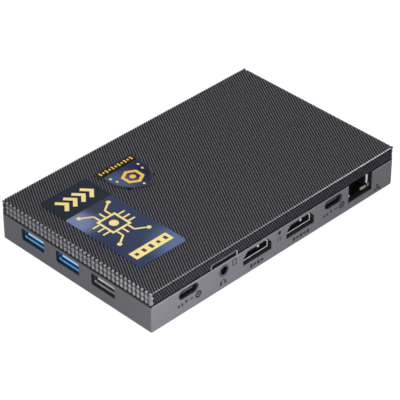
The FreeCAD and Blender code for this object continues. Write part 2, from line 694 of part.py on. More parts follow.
def make_capacitors():
    caps = []
    x = INDUCTOR_X + INDUCTOR_SIDE
    for step in range(CAPACITOR_COUNT):
        y = SPREADER_Y + (step - (CAPACITOR_COUNT - 1) / 2) * CAPACITOR_PITCH
        caps.append(plate(x, y, CAPACITOR_LONG, CAPACITOR_WIDE, BOARD_TOP_Z, BOARD_TOP_Z + CAPACITOR_HIGH))
    return Part.makeCompound(caps)


# Radio
def lead_tube(points):
    edges = []
    start = points[0]
    for before, corner, after in zip(points, points[1:], points[2:]):
        inward = (corner - before).normalize()
        onward = (after - corner).normalize()
        turn = inward.getAngle(onward)
        trim = 0.45 * min((corner - before).Length, (after - corner).Length)
        radius = trim / math.tan(turn / 2)
        towards = (onward - inward).normalize()
        centre = corner + towards * (radius / math.cos(turn / 2))
        middle = centre - towards * radius
        edges.append(Part.LineSegment(start, corner - inward * trim).toShape())
        edges.append(Part.Arc(corner - inward * trim, middle, corner + onward * trim).toShape())
        start = corner + onward * trim
    edges.append(Part.LineSegment(start, points[-1]).toShape())
    path = Part.Wire(edges)
    ring = [points[0] + V(0, LEAD_R * math.cos(math.pi * (k + 0.5) / 4),
                          LEAD_R * math.sin(math.pi * (k + 0.5) / 4)) for k in range(8)]
    profile = Part.makePolygon(ring + ring[:1])
    return path.makePipeShell([profile], True, False)


def make_radio():
    top = BOARD_TOP_Z + RADIO_THICK
    plug_x = (RADIO_LONG - PLUG_R * 2) / 2
    plug_mid_z = top + PLUG_HIGH / 2
    strip_z = ROOF_Z - ANTENNA_THICK
    plugs = [stub(side * plug_x, RADIO_Y, PLUG_R, top, top + PLUG_HIGH) for side in (-1, 1)]
    parts = {
        "radio_module": fused(plate(0, RADIO_Y, RADIO_LONG, RADIO_WIDE, BOARD_TOP_Z, top), *plugs),
        "radio_shield": plate(0, RADIO_Y, RADIO_CAN_LONG, RADIO_CAN_WIDE, top, top + RADIO_CAN_HIGH),
    }
    for name, side in (("left", -1), ("right", 1)):
        middle_x = side * (ANTENNA_START_X + ANTENNA_LONG / 2)
        strip = plate(middle_x, ANTENNA_Y, ANTENNA_LONG, ANTENNA_WIDE, strip_z, ROOF_Z)
        parts["antenna_" + name] = strip
        under_z = strip_z - LEAD_R - MATE / 5
        route = [V(side * (plug_x + PLUG_R + MATE / 5), RADIO_Y, plug_mid_z),
                 V(side * (ANTENNA_START_X + LEAD_FOOT_AT), RADIO_Y, plug_mid_z),
                 V(side * (ANTENNA_START_X + LEAD_TOP_AT), RADIO_Y + LEAD_SHIFT, under_z),
                 V(side * (ANTENNA_START_X + LEAD_END_AT), RADIO_Y + LEAD_SHIFT, under_z)]
        parts["antenna_lead_" + name] = lead_tube(route)
    return parts


# Below the board
def make_battery():
    top = BOARD_BOTTOM_Z - HOLDER_PLATE
    cell = disc(BATTERY_X, BATTERY_Y, BATTERY_R, top - BATTERY_THICK, top)
    rim_r = BATTERY_R + MATE
    rim = disc(BATTERY_X, BATTERY_Y, rim_r + HOLDER_RIM, top - HOLDER_RIM_HIGH, BOARD_BOTTOM_Z)
    well = disc(BATTERY_X, BATTERY_Y, rim_r, top - HOLDER_RIM_HIGH - MATE, top)
    gate = plate(BATTERY_X, BATTERY_Y, BATTERY_R, 2 * (rim_r + 2 * HOLDER_RIM),
                 top - HOLDER_RIM_HIGH - MATE, top)
    return {"clock_battery": cell, "battery_holder": rim.cut([well, gate])}


def make_drive_socket():
    x0 = SOCKET_X - SOCKET_DEEP / 2
    bottom = BOARD_BOTTOM_Z - SOCKET_HIGH
    body = plate(SOCKET_X, SOCKET_Y, SOCKET_DEEP, SOCKET_LONG, bottom, BOARD_BOTTOM_Z)
    slot_z = BOARD_BOTTOM_Z - STUD_HIGH - SOCKET_SLOT / 2
    slot = block(x0 - MATE, x0 + SOCKET_SLOT_DEEP, SOCKET_Y - SOCKET_LONG / 2 + SOCKET_SLOT,
                 SOCKET_Y + SOCKET_LONG / 2 - SOCKET_SLOT, slot_z - SOCKET_SLOT / 2,
                 slot_z + SOCKET_SLOT / 2)
    stud = stub(STUD_X, SOCKET_Y, STUD_R, BOARD_BOTTOM_Z - STUD_HIGH, BOARD_BOTTOM_Z)
    bore = stub(STUD_X, SOCKET_Y, STUD_BORE_R, BOARD_BOTTOM_Z - STUD_HIGH - MATE,
                BOARD_BOTTOM_Z - STUD_HIGH / 4)
    return {"drive_socket": body.cut(slot), "drive_stud": stud.cut(bore)}


# Ports
def usb_shell():
    end = SHELL_SETBACK + USB_DEEP
    outer = bar(USB_MOUTH_WIDE + 2 * SHELL_THICK, USB_MOUTH_HIGH + 2 * SHELL_THICK,
                USB_HOLE_R + SHELL_THICK / 2, SHELL_SETBACK, end)
    inner = bar(USB_MOUTH_WIDE, USB_MOUTH_HIGH, USB_HOLE_R, SHELL_SETBACK - MATE, end + MATE)
    top = USB_MOUTH_HIGH / 2 + SHELL_THICK
    legs = []
    for side in (-1, 1):
        for y in (SHELL_SETBACK + USB_DEEP / 4, end - USB_DEEP / 4):
            legs.append(plate(side * USB_MOUTH_WIDE / 3, y, USB_DEEP / 6, SHELL_THICK * 2,
                              top - SHELL_THICK / 2, BOARD_BOTTOM_Z - USB_Z))
    return fused(outer.cut(inner), *legs)


def usb_tongue_span():
    low = -USB_MOUTH_HIGH / 2 + USB_TONGUE_LIFT
    return low, low + USB_TONGUE_HIGH


def usb_tongue():
    front = SHELL_SETBACK + USB_TONGUE_SETBACK
    end = SHELL_SETBACK + USB_DEEP
    low, high = usb_tongue_span()
    blade = slab(-USB_TONGUE_WIDE / 2, USB_TONGUE_WIDE / 2, front, end - USB_BLOCK_DEEP / 2, low, high)
    blade = blade.makeChamfer(USB_TONGUE_SETBACK / 3, [
        e for e in edges_along(blade, V(1, 0, 0)) if e.BoundBox.YMax < front + MATE])
    rear = bar(USB_MOUTH_WIDE - MATE, USB_MOUTH_HIGH - MATE, USB_HOLE_R, end - USB_BLOCK_DEEP, end)
    body = blade.fuse(rear)
    return body.cut(usb_contact_slots(USB_SLOT_DEEP, MATE / 2))


def usb_contact_slots(depth, play):
    front = SHELL_SETBACK + 2 * USB_TONGUE_SETBACK
    high = usb_tongue_span()[1]
    slots = []
    for step in range(4):
        x = (step - 1.5) * USB_CONTACT_PITCH
        half = USB_CONTACT_WIDE / 2 + play
        slots.append(slab(x - half, x + half, front - play, front + USB_CONTACT_LONG + play,
                          high - depth, high + play))
    return slots


def usb_contacts():
    high = usb_tongue_span()[1]
    front = SHELL_SETBACK + 2 * USB_TONGUE_SETBACK
    strips = []
    for step in range(4):
        x = (step - 1.5) * USB_CONTACT_PITCH
        half = USB_CONTACT_WIDE / 2
        strips.append(slab(x - half, x + half, front, front + USB_CONTACT_LONG, high - USB_SLOT_DEEP,
                           high - USB_SLOT_DEEP + USB_CONTACT_HIGH))
    return strips


def video_shell():
    end = SHELL_SETBACK + VIDEO_DEEP
    outer = cut_corner_bar(VIDEO_MOUTH_WIDE + 2 * SHELL_THICK, VIDEO_MOUTH_HIGH + 2 * SHELL_THICK,
                           VIDEO_CUT_IN, VIDEO_CUT_DOWN, SHELL_SETBACK, end)
    inner = cut_corner_bar(VIDEO_MOUTH_WIDE, VIDEO_MOUTH_HIGH, VIDEO_CUT_IN, VIDEO_CUT_DOWN,
                           SHELL_SETBACK - MATE, end + MATE)
    top = VIDEO_MOUTH_HIGH / 2 + SHELL_THICK
    legs = []
    for side in (-1, 1):
        for y in (SHELL_SETBACK + VIDEO_DEEP / 4, end - VIDEO_DEEP / 4):
            legs.append(plate(side * VIDEO_MOUTH_WIDE / 4, y, VIDEO_DEEP / 6, SHELL_THICK * 2,
                              top - SHELL_THICK / 2, BOARD_BOTTOM_Z - VIDEO_Z))
    return fused(outer.cut(inner), *legs)


def video_tongue():
    front = SHELL_SETBACK + VIDEO_TONGUE_SETBACK
    end = SHELL_SETBACK + VIDEO_DEEP
    half = VIDEO_TONGUE_WIDE / 2
    low = -VIDEO_TONGUE_HIGH / 2 - VIDEO_TONGUE_DROP
    blade = slab(-half, half, front, end - VIDEO_BLOCK_DEEP / 2, low, low + VIDEO_TONGUE_HIGH)
    blade = blade.makeChamfer(VIDEO_TONGUE_SETBACK / 4, [
        e for e in edges_along(blade, V(1, 0, 0)) if e.BoundBox.YMax < front + MATE])
    rear = cut_corner_bar(VIDEO_MOUTH_WIDE - MATE, VIDEO_MOUTH_HIGH - MATE, VIDEO_CUT_IN,
                          VIDEO_CUT_DOWN, end - VIDEO_BLOCK_DEEP, end)
    return blade.fuse(rear)


def oval_sizes():
    wide = OVAL_HOLE_WIDE - 2 * OVAL_PLAY
    high = OVAL_HOLE_HIGH - 2 * OVAL_PLAY
    return wide, high, wide - 2 * OVAL_THICK, high - 2 * OVAL_THICK


def oval_shell():
    wide, high, in_wide, in_high = oval_sizes()
    end = OVAL_SETBACK + OVAL_DEEP
    outer = oval_bar(wide, high, OVAL_SETBACK, end)
    inner = oval_bar(in_wide, in_high, OVAL_SETBACK - MATE, end + MATE)
    legs = []
    for side in (-1, 1):
        for y in (SHELL_SETBACK + OVAL_DEEP / 4, end - OVAL_DEEP / 6):
            legs.append(plate(side * in_wide / 4, y, OVAL_DEEP / 8, OVAL_THICK * 2,
                              high / 2 - OVAL_THICK / 2, BOARD_BOTTOM_Z - OVAL_Z))
    return outer.cut(inner), legs


def oval_tongue():
    wide, high, in_wide, in_high = oval_sizes()
    front = OVAL_SETBACK + OVAL_TONGUE_SETBACK
    end = OVAL_SETBACK + OVAL_DEEP
    blade = bar(OVAL_TONGUE_WIDE, OVAL_TONGUE_HIGH, OVAL_TONGUE_HIGH / 5, front,
                end - OVAL_BLOCK_DEEP / 2)
    rear_high = in_high - MATE
    rear = oval_bar(in_wide - MATE, rear_high, end - OVAL_BLOCK_DEEP, end)
    return blade.fuse(rear)


def make_audio():
    back = SHELL_SETBACK + AUDIO_BODY_DEEP
    along = V(0, 1, 0)
    nose = Part.makeCylinder(AUDIO_NOSE_R, SHELL_SETBACK + 1, V(0, 0, 0), along)
    body = slab(-AUDIO_BODY_WIDE / 2, AUDIO_BODY_WIDE / 2, SHELL_SETBACK, back,
                -AUDIO_BODY_HIGH / 2, AUDIO_BODY_HIGH / 2)
    bore = Part.makeCylinder(AUDIO_BORE_R, AUDIO_BORE_LONG, V(0, 0, 0), along)
    chamber = slab(-AUDIO_CHAMBER_R, AUDIO_CHAMBER_R, AUDIO_BORE_LONG, back - 1,
                   -AUDIO_CHAMBER_R, AUDIO_CHAMBER_R)
    body = fused(nose, body).cut([bore, chamber])
    spring = slab(-AUDIO_SPRING_THICK * 2, AUDIO_SPRING_THICK * 2, AUDIO_BORE_LONG, back - 1,
                  -AUDIO_CHAMBER_R, -AUDIO_CHAMBER_R + AUDIO_SPRING_THICK)
    return {"audio_jack_body": on_face(body, "front", AUDIO_X, AUDIO_Z),
            "audio_jack_spring": on_face(spring, "front", AUDIO_X, AUDIO_Z)}


def make_lan():
    front = -BASE_HALF_Y + SHELL_SETBACK
    back = front + LAN_DEEP
    half = LAN_WIDE / 2
    housing = block(LAN_X - half, LAN_X + half, front, back, LAN_BOTTOM_Z, LAN_TOP_Z)
    floor = LAN_BOTTOM_Z + LAN_CAVITY_FLOOR
    roof = floor + LAN_CAVITY_HIGH
    cavity_half = LAN_CAVITY_WIDE / 2
    latch_half = LAN_LATCH_WIDE / 2
    cuts = [block(LAN_X - cavity_half, LAN_X + cavity_half, front - MATE, front + LAN_CAVITY_DEEP,
                  floor, roof),
            block(LAN_X - latch_half, LAN_X + latch_half, front - MATE, front + LAN_CAVITY_DEEP,
                  roof - MATE, roof + LAN_LATCH_HIGH)]
    lamps = []
    for side in (-1, 1):
        middle = LAN_X + side * (half - LAN_LAMP_WIDE / 2 - MATE - (half - cavity_half - LAN_LAMP_WIDE) / 4)
        low = LAN_BOTTOM_Z + LAN_CAVITY_FLOOR
        lamp = block(middle - LAN_LAMP_WIDE / 2, middle + LAN_LAMP_WIDE / 2, front,
                     front + LAN_LAMP_DEEP, low, low + LAN_LAMP_HIGH)
        lamps.append(lamp)
    housing = housing.cut(cuts + lamps)
    skin = LAN_SHIELD_THICK
    outer = block(LAN_X - half - skin, LAN_X + half + skin, front, back + skin,
                  LAN_BOTTOM_Z - skin, LAN_TOP_Z + skin)
    inner = block(LAN_X - half, LAN_X + half, front - MATE, back, LAN_BOTTOM_Z, LAN_TOP_Z)
    contacts = []
    for step in range(LAN_CONTACT_COUNT):
        x = LAN_X + (step - (LAN_CONTACT_COUNT - 1) / 2) * LAN_CONTACT_PITCH
        reach = LAN_CAVITY_DEEP * 0.6
        start = V(x - LAN_CONTACT_WIDE / 2, front + LAN_CAVITY_DEEP - reach, floor + LAN_CONTACT_LIFT)
        rise = V(0, reach, LAN_CAVITY_HIGH * LAN_CONTACT_SLOPE)
        up = V(0, 0, LAN_CONTACT_THICK)
        outline = [start, start + rise, start + rise + up, start + up]
        strip = Part.Face(Part.makePolygon(outline + outline[:1])).extrude(V(LAN_CONTACT_WIDE, 0, 0))
        contacts.append(strip)
    return {"network_jack_housing": housing, "network_jack_shield": outer.cut(inner),
            "network_jack_contacts": Part.makeCompound(contacts),
            "network_jack_lamps": Part.makeCompound(lamps)}


def make_card_socket():
    x0 = CARD_X - CARD_SOCKET_WIDE / 2
    x1 = CARD_X + CARD_SOCKET_WIDE / 2
    y0 = BOARD_FRONT_EDGE + MATE
    y1 = y0 + CARD_SOCKET_DEEP
    top = BOARD_TOP_Z + CARD_SOCKET_HIGH
    skin = CARD_COVER_THICK
    body = block(x0 + skin, x1 - skin, y0, y1 - skin, BOARD_TOP_Z, top - skin)
    room = block(x0 + skin + CARD_RAIL, x1 - skin - CARD_RAIL, y0 - MATE, y1 - skin - CARD_RAIL,
                 CARD_LOW_Z, top)
    cover = block(x0, x1, y0, y1, BOARD_TOP_Z, top).cut(
        block(x0 + skin, x1 - skin, y0 - MATE, y1 - skin, BOARD_TOP_Z - MATE, top - skin))
    bar_x1 = x1 - skin - CARD_RAIL - MATE
    bar_y1 = y1 - skin - CARD_RAIL - CARD_TRAVEL - 2 * MATE
    low = CARD_LOW_Z + MATE
    high = low + CARD_SLIDER_HIGH
    slider = fused(block(bar_x1 - CARD_SLIDER_WIDE, bar_x1, bar_y1 - CARD_SLIDER_BAR, bar_y1, low, high),
                   block(bar_x1 - CARD_SLIDER_ARM, bar_x1, bar_y1 - CARD_SLIDER_ARM_LONG,
                         bar_y1 - CARD_SLIDER_BAR + MATE, low, high))
    return {"card_socket_base": body.cut(room), "card_socket_cover": cover, "card_slider": slider}


# Keys
def make_power_key():
    along = V(0, 1, 0)
    flange_front = BASE_WALL + POWER_REST_GAP
    flange_back = flange_front + POWER_FLANGE_THICK
    plunger_front = SWITCH_SETBACK - SWITCH_PLUNGER_OUT
    cap = Part.makeCylinder(POWER_R, flange_back + POWER_PROUD, V(0, -POWER_PROUD, 0), along)
    rim = [e for e in cap.Edges if isinstance(e.Curve, Part.Circle) and e.BoundBox.YMax < MATE]
    cap = cap.makeChamfer(POWER_PROUD / 2, rim)
    dish = Part.makeCylinder(POWER_DISH_R, POWER_DISH + MATE, V(0, -POWER_PROUD - MATE, 0), along)
    flange = square_bar(POWER_FLANGE_HALF, flange_front, flange_back)
    stem = square_bar(POWER_STEM_HALF, flange_back, plunger_front)
    key = fused(cap, flange, stem).cut(dish)
    plunger_long = SWITCH_PLUNGER_OUT + SWITCH_POCKET - POWER_TRAVEL - POWER_PLAY
    plunger = square_bar(SWITCH_PLUNGER_HALF, plunger_front, plunger_front + plunger_long)
    return {"power_key": on_face(key, "right", POWER_Y, POWER_Z),
            "power_switch_plunger": on_face(plunger, "right", POWER_Y, POWER_Z)}


def make_power_switch():
    x1 = BASE_HALF_X - SWITCH_SETBACK
    low = POWER_Z - SWITCH_PLUNGER_HALF - POWER_PLAY - LAMP_FLANGE_THICK
    body = block(x1 - SWITCH_DEEP, x1, POWER_Y - SWITCH_WIDE / 2, POWER_Y + SWITCH_WIDE / 2,
                 low, BOARD_BOTTOM_Z)
    reach = SWITCH_PLUNGER_HALF + POWER_PLAY
    pocket = block(x1 - SWITCH_POCKET, x1 + MATE, POWER_Y - reach, POWER_Y + reach,
                   POWER_Z - reach, POWER_Z + reach)
    return body.cut(pocket)


def make_status_lamp():
    along = V(0, 1, 0)
    lens = Part.makeCylinder(LAMP_R - MATE / 4, BASE_WALL, V(0, 0, 0), along)
    flange = square_bar(LAMP_FLANGE_HALF, BASE_WALL, BASE_WALL + LAMP_FLANGE_THICK)
    return on_face(fused(lens, flange), "right", LAMP_Y, POWER_Z)


def make_lock_plate():
    steel = bar(LOCK_PLATE_WIDE, LOCK_PLATE_HIGH, LOCK_HIGH / 4, BASE_WALL, BASE_WALL + LOCK_PLATE_THICK)
    slot = bar(LOCK_WIDE, LOCK_HIGH, LOCK_HIGH * 0.2, BASE_WALL - MATE,
               BASE_WALL + LOCK_PLATE_THICK + MATE)
    return on_face(steel.cut(slot), "right", LOCK_Y, POWER_Z)


def make_reset_key():
    half = RESET_WIDE / 2
    body_front = BOARD_FRONT_EDGE + RESET_PLUNGER_OUT
    body = block(PIN_X - half, PIN_X + half, body_front, body_front + RESET_DEEP,
                 BOARD_BOTTOM_Z - RESET_HIGH, BOARD_BOTTOM_Z)
    plunger_half = RESET_PLUNGER_WIDE / 2
    low = PIN_Z - RESET_PLUNGER_HIGH / 2
    high = PIN_Z + RESET_PLUNGER_HIGH / 2
    pocket = block(PIN_X - plunger_half - RESET_PLAY, PIN_X + plunger_half + RESET_PLAY,
                   body_front - MATE, body_front + RESET_PLUNGER_IN + RESET_TRAVEL + RESET_PLAY,
                   low - RESET_PLAY, high + RESET_PLAY)
    plunger = block(PIN_X - plunger_half, PIN_X + plunger_half, body_front - RESET_PLUNGER_OUT,
                    body_front + RESET_PLUNGER_IN, low, high)
    return {"reset_switch": body.cut(pocket), "reset_plunger": plunger}


# Stickers
def make_info_sticker():
    face = Part.makeBox(INFO_WIDE, INFO_LONG, STICKER_THICK, V(INFO_X0, INFO_Y0, LID_TOP_Z))
    return face.makeFillet(INFO_R, edges_along(face, V(0, 0, 1)))


def make_badge_sticker():
    z = LID_TOP_Z
    band = plate(BADGE_X, BADGE_TOP_Y - BADGE_BAND_HIGH / 2, BADGE_BAND_WIDE, BADGE_BAND_HIGH,
                 z, z + STICKER_THICK)
    band = band.makeChamfer(BADGE_BAND_HIGH / 8, edges_along(band, V(0, 0, 1)))
    half = BADGE_BODY_WIDE / 2
    top = BADGE_TOP_Y - BADGE_BAND_HIGH / 2
    low = BADGE_TOP_Y - BADGE_BAND_HIGH - BADGE_SIDE_HIGH
    tip = low - BADGE_TIP_HIGH
    right = V(BADGE_X + half, low, z)
    left = V(BADGE_X - half, low, z)
    point = V(BADGE_X, tip, z)
    bulge_r = V(BADGE_X + half * 0.66, low - BADGE_TIP_HIGH * 0.58, z)
    bulge_l = V(BADGE_X - half * 0.66, low - BADGE_TIP_HIGH * 0.58, z)
    edges = [Part.LineSegment(V(BADGE_X - half, top, z), V(BADGE_X + half, top, z)).toShape(),
             Part.LineSegment(V(BADGE_X + half, top, z), right).toShape(),
             Part.Arc(right, bulge_r, point).toShape(),
             Part.Arc(point, bulge_l, left).toShape(),
             Part.LineSegment(left, V(BADGE_X - half, top, z)).toShape()]
    shield = Part.Face(Part.Wire(edges)).extrude(V(0, 0, STICKER_THICK))
    return fused(band, shield)


def make_ports():
    nodes = {}
    contacts = []
    for name, (face, along) in USB_PORTS.items():
        nodes[name + "_shell"] = on_face(usb_shell(), face, along, USB_Z)
        nodes[name + "_tongue"] = on_face(usb_tongue(), face, along, USB_Z)
        contacts += [on_face(strip, face, along, USB_Z) for strip in usb_contacts()]
    nodes["usb_contacts"] = Part.makeCompound(contacts)
    for name, along in (("video_port_1", VIDEO_1_X), ("video_port_2", VIDEO_2_X)):
        nodes[name + "_shell"] = on_face(video_shell(), "front", along, VIDEO_Z)
        nodes[name + "_tongue"] = on_face(video_tongue(), "front", along, VIDEO_Z)
    for name, along in (("usb_c_port_1", OVAL_1_X), ("usb_c_port_2", OVAL_2_X)):
        tube, legs = oval_shell()
        nodes[name + "_shell"] = on_face(fused(tube, *legs), "front", along, OVAL_Z)
        nodes[name + "_tongue"] = on_face(oval_tongue(), "front", along, OVAL_Z)
    return nodes


def make_all():
    nodes = {
        "bottom_case": make_bottom_case(),
        "top_cover": make_top_cover(),
        "rubber_feet": make_feet(),
        "case_screws": make_case_screws(),
        "bracket_inserts": make_bracket_inserts(),
        "info_sticker": make_info_sticker(),
        "badge_sticker": make_badge_sticker(),
        "main_board": make_main_board(),
        "board_screws": make_board_screws(),
        "heat_spreader": make_heat_spreader(),
        "memory_chips": make_memory_chips(),
        "board_chips": make_board_chips(),
        "power_inductors": make_inductors(),
        "board_capacitors": make_capacitors(),
        "power_switch": make_power_switch(),
        "status_lamp": make_status_lamp(),
        "lock_plate": make_lock_plate(),
    }
    for group in (make_heat_path(), make_radio(), make_battery(), make_drive_socket(), make_ports(),
                  make_audio(), make_lan(), make_card_socket(), make_power_key(), make_reset_key()):
        nodes.update(group)
    return nodes


os.makedirs("parts", exist_ok=True)
for node, shape in make_all().items():
    shape.exportStep("parts/" + node + ".step")
    print(node, len(shape.Solids), shape.isValid(), round(shape.Volume, 3))
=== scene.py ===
import json
import math

import bpy
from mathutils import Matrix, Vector


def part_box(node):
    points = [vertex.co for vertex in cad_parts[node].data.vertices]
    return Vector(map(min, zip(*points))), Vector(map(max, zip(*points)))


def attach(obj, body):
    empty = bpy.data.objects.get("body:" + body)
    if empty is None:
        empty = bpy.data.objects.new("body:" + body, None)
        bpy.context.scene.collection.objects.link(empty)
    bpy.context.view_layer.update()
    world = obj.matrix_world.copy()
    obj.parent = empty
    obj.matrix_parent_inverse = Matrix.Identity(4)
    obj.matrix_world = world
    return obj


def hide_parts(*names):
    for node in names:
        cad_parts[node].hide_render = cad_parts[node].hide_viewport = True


# Looks of a fanless mini computer. Sizes are millimetres in the part's frame until mm() or MM turns
# them into metres. Colours are sRGB, 0 to 255.
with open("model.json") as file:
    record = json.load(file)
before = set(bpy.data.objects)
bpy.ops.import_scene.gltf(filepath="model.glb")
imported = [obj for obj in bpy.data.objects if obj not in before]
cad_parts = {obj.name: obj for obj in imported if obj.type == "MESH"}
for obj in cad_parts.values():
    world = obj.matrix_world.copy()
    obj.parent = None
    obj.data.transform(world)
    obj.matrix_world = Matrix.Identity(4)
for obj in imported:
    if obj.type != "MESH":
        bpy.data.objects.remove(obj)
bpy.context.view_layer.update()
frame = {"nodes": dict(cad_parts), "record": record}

MM = 0.001

# Camera and light
CAMERA_AT = (-464.6, -464.45, 482.31)
CAMERA_AIM = (-4.41, -3.87, 9.65)
CAMERA_LENS = 189.5
SENSOR_WIDE = 36.0
WORLD_LIGHT = 0.1
FLOOR_SIZE = 6000.0
FLOOR_COLOUR = (124, 124, 125)
FLOOR_GLOW = 0.93
LAMPS = {
    "lamp_near": ((-95, -165, 50), 70, 0.208),
    "lamp_left": ((-800, 60, 200), 420, 0.72),
    "lamp_top": ((80, 160, 900), 700, 6.2),
    "lamp_back": ((700, 560, 300), 420, 1.5),
}

# Knurl of the lid: short ridges in slanting lines on the top and the long sides, round knobs on the ends
KNURL_HIGH = 0.4
TOP_PITCH = (1.2, 2.08)
SIDE_ROWS = 4
SIDE_RISE = 1.04
END_COLUMNS = 38
END_FIRST = 0.7
END_ROWS = 2
END_RISE = 2.1
LOW_ROW = 1.15

# Rounding of the lid's outline, and the seam below it, which stands open by the two gaps
OUTLINE_R = 0.5
SEAM_Z = 12.6
SIDE_GAP = 0.05
END_GAP = 0.1

# How far the ridges go on under the edges of the two films
INFO_OVERLAP = 0.9
BADGE_OVERLAP = 3.2

# Outlines of a lump, and its rings from the foot up: half its length, half its width, height
BLOCK = [(1, 1), (-1, 1), (-1, -1), (1, -1)]
ROUND = [(math.cos(math.radians(45 * k)), math.sin(math.radians(45 * k))) for k in range(8)]
RIDGE_CREST = ((0.5, 0.24, 0.3), (0.36, 0.12, 0.39))
LONG_BEAD = ((0.45, 0.3, -0.3), (0.56, 0.28, 0.1), (0.34, 0.1, 0.42))
KNOB = ((1.12, 1.2, -0.1), (0.72, 0.95, 0.18), (0.22, 0.6, 0.39))
END_BEAD = ((0.6, 0.6, -0.5), (0.62, 0.6, 0.1), (0.16, 0.26, 0.5))
FAR_BEAD = ((1.1, 0.6, -0.5), (1.1, 0.6, 0.05), (0.95, 0.3, 0.3))

# Notch in the lid for the tab over the card slot, its rim with a painted highlight, and the slot's mouth
# below it
TAB_CENTRE_X = -28.4
TAB_HALF = 6.55
TAB_NOTCH_TOP = 14.4
TAB_CLEAR = (0.35, 0.3)
RIM_WIDE = 0.2
RIM_BACK = 0.42
RIM_INNER = 0.12
RIM_OUTER = 0.02
CARD_MOUTH_HALF = 6.1
CARD_MOUTH_Z = (12.78, 13.98)

# Places on the long port face: X and Z
RESET_HOLE = (1.1, 10.45)
RESET_SIGN = (1.1, 7.4)
CARD_SIGN = (-22.9, 9.9)
NETWORK_SIGN = (56.9, 3.3)
OVAL_PORT_Z = 9.41

# Network jack: half the width of its cavity, and the cavity's floor above the housing's underside
JACK_CAVITY_HALF = 5.9
JACK_FLOOR = 1.1

# Printed films: where the plain band of each starts. Prints on the case are thinner than on the films.
INFO_BAND_Y = 13.7
BADGE_BAND_Y = 23.8
FILM_INK = 0.03
CASE_INK = 0.012


def mm(x, y, z):
    return Vector((x * MM, y * MM, z * MM))


def linear(colour):
    steps = [c / 255 for c in colour]
    return [s / 12.92 if s <= 0.04045 else ((s + 0.055) / 1.055) ** 2.4 for s in steps] + [1.0]


def box_mm(node):
    low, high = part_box(node)
    return [c / MM for c in low], [c / MM for c in high]


# Materials
class Tree:
    """Adds shader nodes. An input is a plain value or the output of another node."""

    def __init__(self, owner):
        owner.use_nodes = True
        self.nodes = owner.node_tree.nodes
        self.links = owner.node_tree.links

    def give(self, node, socket, value):
        if isinstance(value, bpy.types.NodeSocket):
            self.links.new(value, node.inputs[socket])
        else:
            node.inputs[socket].default_value = value

    def add(self, kind, inputs, **settings):
        node = self.nodes.new("ShaderNode" + kind)
        for setting, value in settings.items():
            setattr(node, setting, value)
        for socket, value in inputs.items():
            self.give(node, socket, value)
        return node

    def calculate(self, operation, first, second=0.0):
        return self.add("Math", {0: first, 1: second}, operation=operation).outputs[0]

    def axes(self, place):
        return self.add("SeparateXYZ", {"Vector": place}).outputs

    def step(self, value, start, end):
        """0 up to start, 1 from end, in millimetres, and smooth between."""
        spread = self.add("MapRange", {"Value": value, "From Min": start * MM, "From Max": end * MM},
                          interpolation_type="SMOOTHSTEP")
        return spread.outputs["Result"]

    def mix(self, share, first, second):
        return self.add("Mix", {0: share, 6: first, 7: second}, data_type="RGBA").outputs[2]

    def distance(self, place, point):
        node = self.add("VectorMath", {0: place, 1: mm(*point)}, operation="DISTANCE")
        return node.outputs["Value"]


def grained(name, colour, rough, metallic=0.0, grain=0.5, contrast=0.08, relief=0.01,
            stretch=(1, 1, 1), round_edge=0.0, specular=0.5, glow=0.0, paint=None):
    """A fine-grained finish. paint(tree, place, shade) may turn its colour into one that varies."""
    material = bpy.data.materials.new(name)
    tree = Tree(material)
    surface = tree.nodes["Principled BSDF"]
    place = tree.add("TexCoord", {}).outputs["Object"]
    spread = tree.add("Mapping", {"Vector": place, "Scale": stretch}).outputs["Vector"]
    noise = tree.add("TexNoise", {"Vector": spread, "Scale": 1 / (grain * MM), "Detail": 3.0})
    noise = noise.outputs["Fac"]
    bump = tree.add("Bump", {"Strength": 0.7, "Distance": relief * MM, "Height": noise})
    if round_edge:
        bevel = tree.add("Bevel", {"Radius": round_edge * MM}, samples=4)
        tree.give(bump, "Normal", bevel.outputs["Normal"])
    tree.give(surface, "Normal", bump.outputs["Normal"])
    ramp = tree.add("ValToRGB", {"Fac": noise})
    for element, spot, factor in zip(ramp.color_ramp.elements, (0.3, 0.7), (1 - contrast, 1 + contrast)):
        element.position = spot
        element.color = [min(1.0, c * factor) for c in linear(colour)[:3]] + [1.0]
    shade = ramp.outputs["Color"]
    shade = paint(tree, place, shade) if paint else shade
    tree.give(surface, "Base Color", shade)
    # glow makes a part that is no lamp give light: painted light.
    if glow:
        tree.give(surface, "Emission Color", shade)
        surface.inputs["Emission Strength"].default_value = glow
    gloss = tree.add("MapRange", {"Value": noise, "To Min": rough - 0.05, "To Max": rough + 0.05})
    tree.give(surface, "Roughness", gloss.outputs["Result"])
    surface.inputs["Metallic"].default_value = metallic
    surface.inputs["Specular IOR Level"].default_value = specular
    return material


def depth_in_base(tree, place):
    """How far a point lies behind the nearest side face of the base."""
    half = box_mm("bottom_case")[1]
    split = tree.axes(place)
    from_middle = [tree.calculate("ABSOLUTE", split[axis]) for axis in (0, 1)]
    gaps = [tree.calculate("SUBTRACT", half[axis] * MM, from_middle[axis]) for axis in (0, 1)]
    return tree.calculate("MINIMUM", *gaps)


def front_depth(node):
    """How far a node's front lies behind the nearest side face of the base."""
    half = box_mm("bottom_case")[1]
    low, high = box_mm(node)
    return min(half[axis] - max(-low[axis], high[axis]) for axis in (0, 1))


def middle(node):
    low, high = box_mm(node)
    return [(a + b) / 2 for a, b in zip(low, high)]


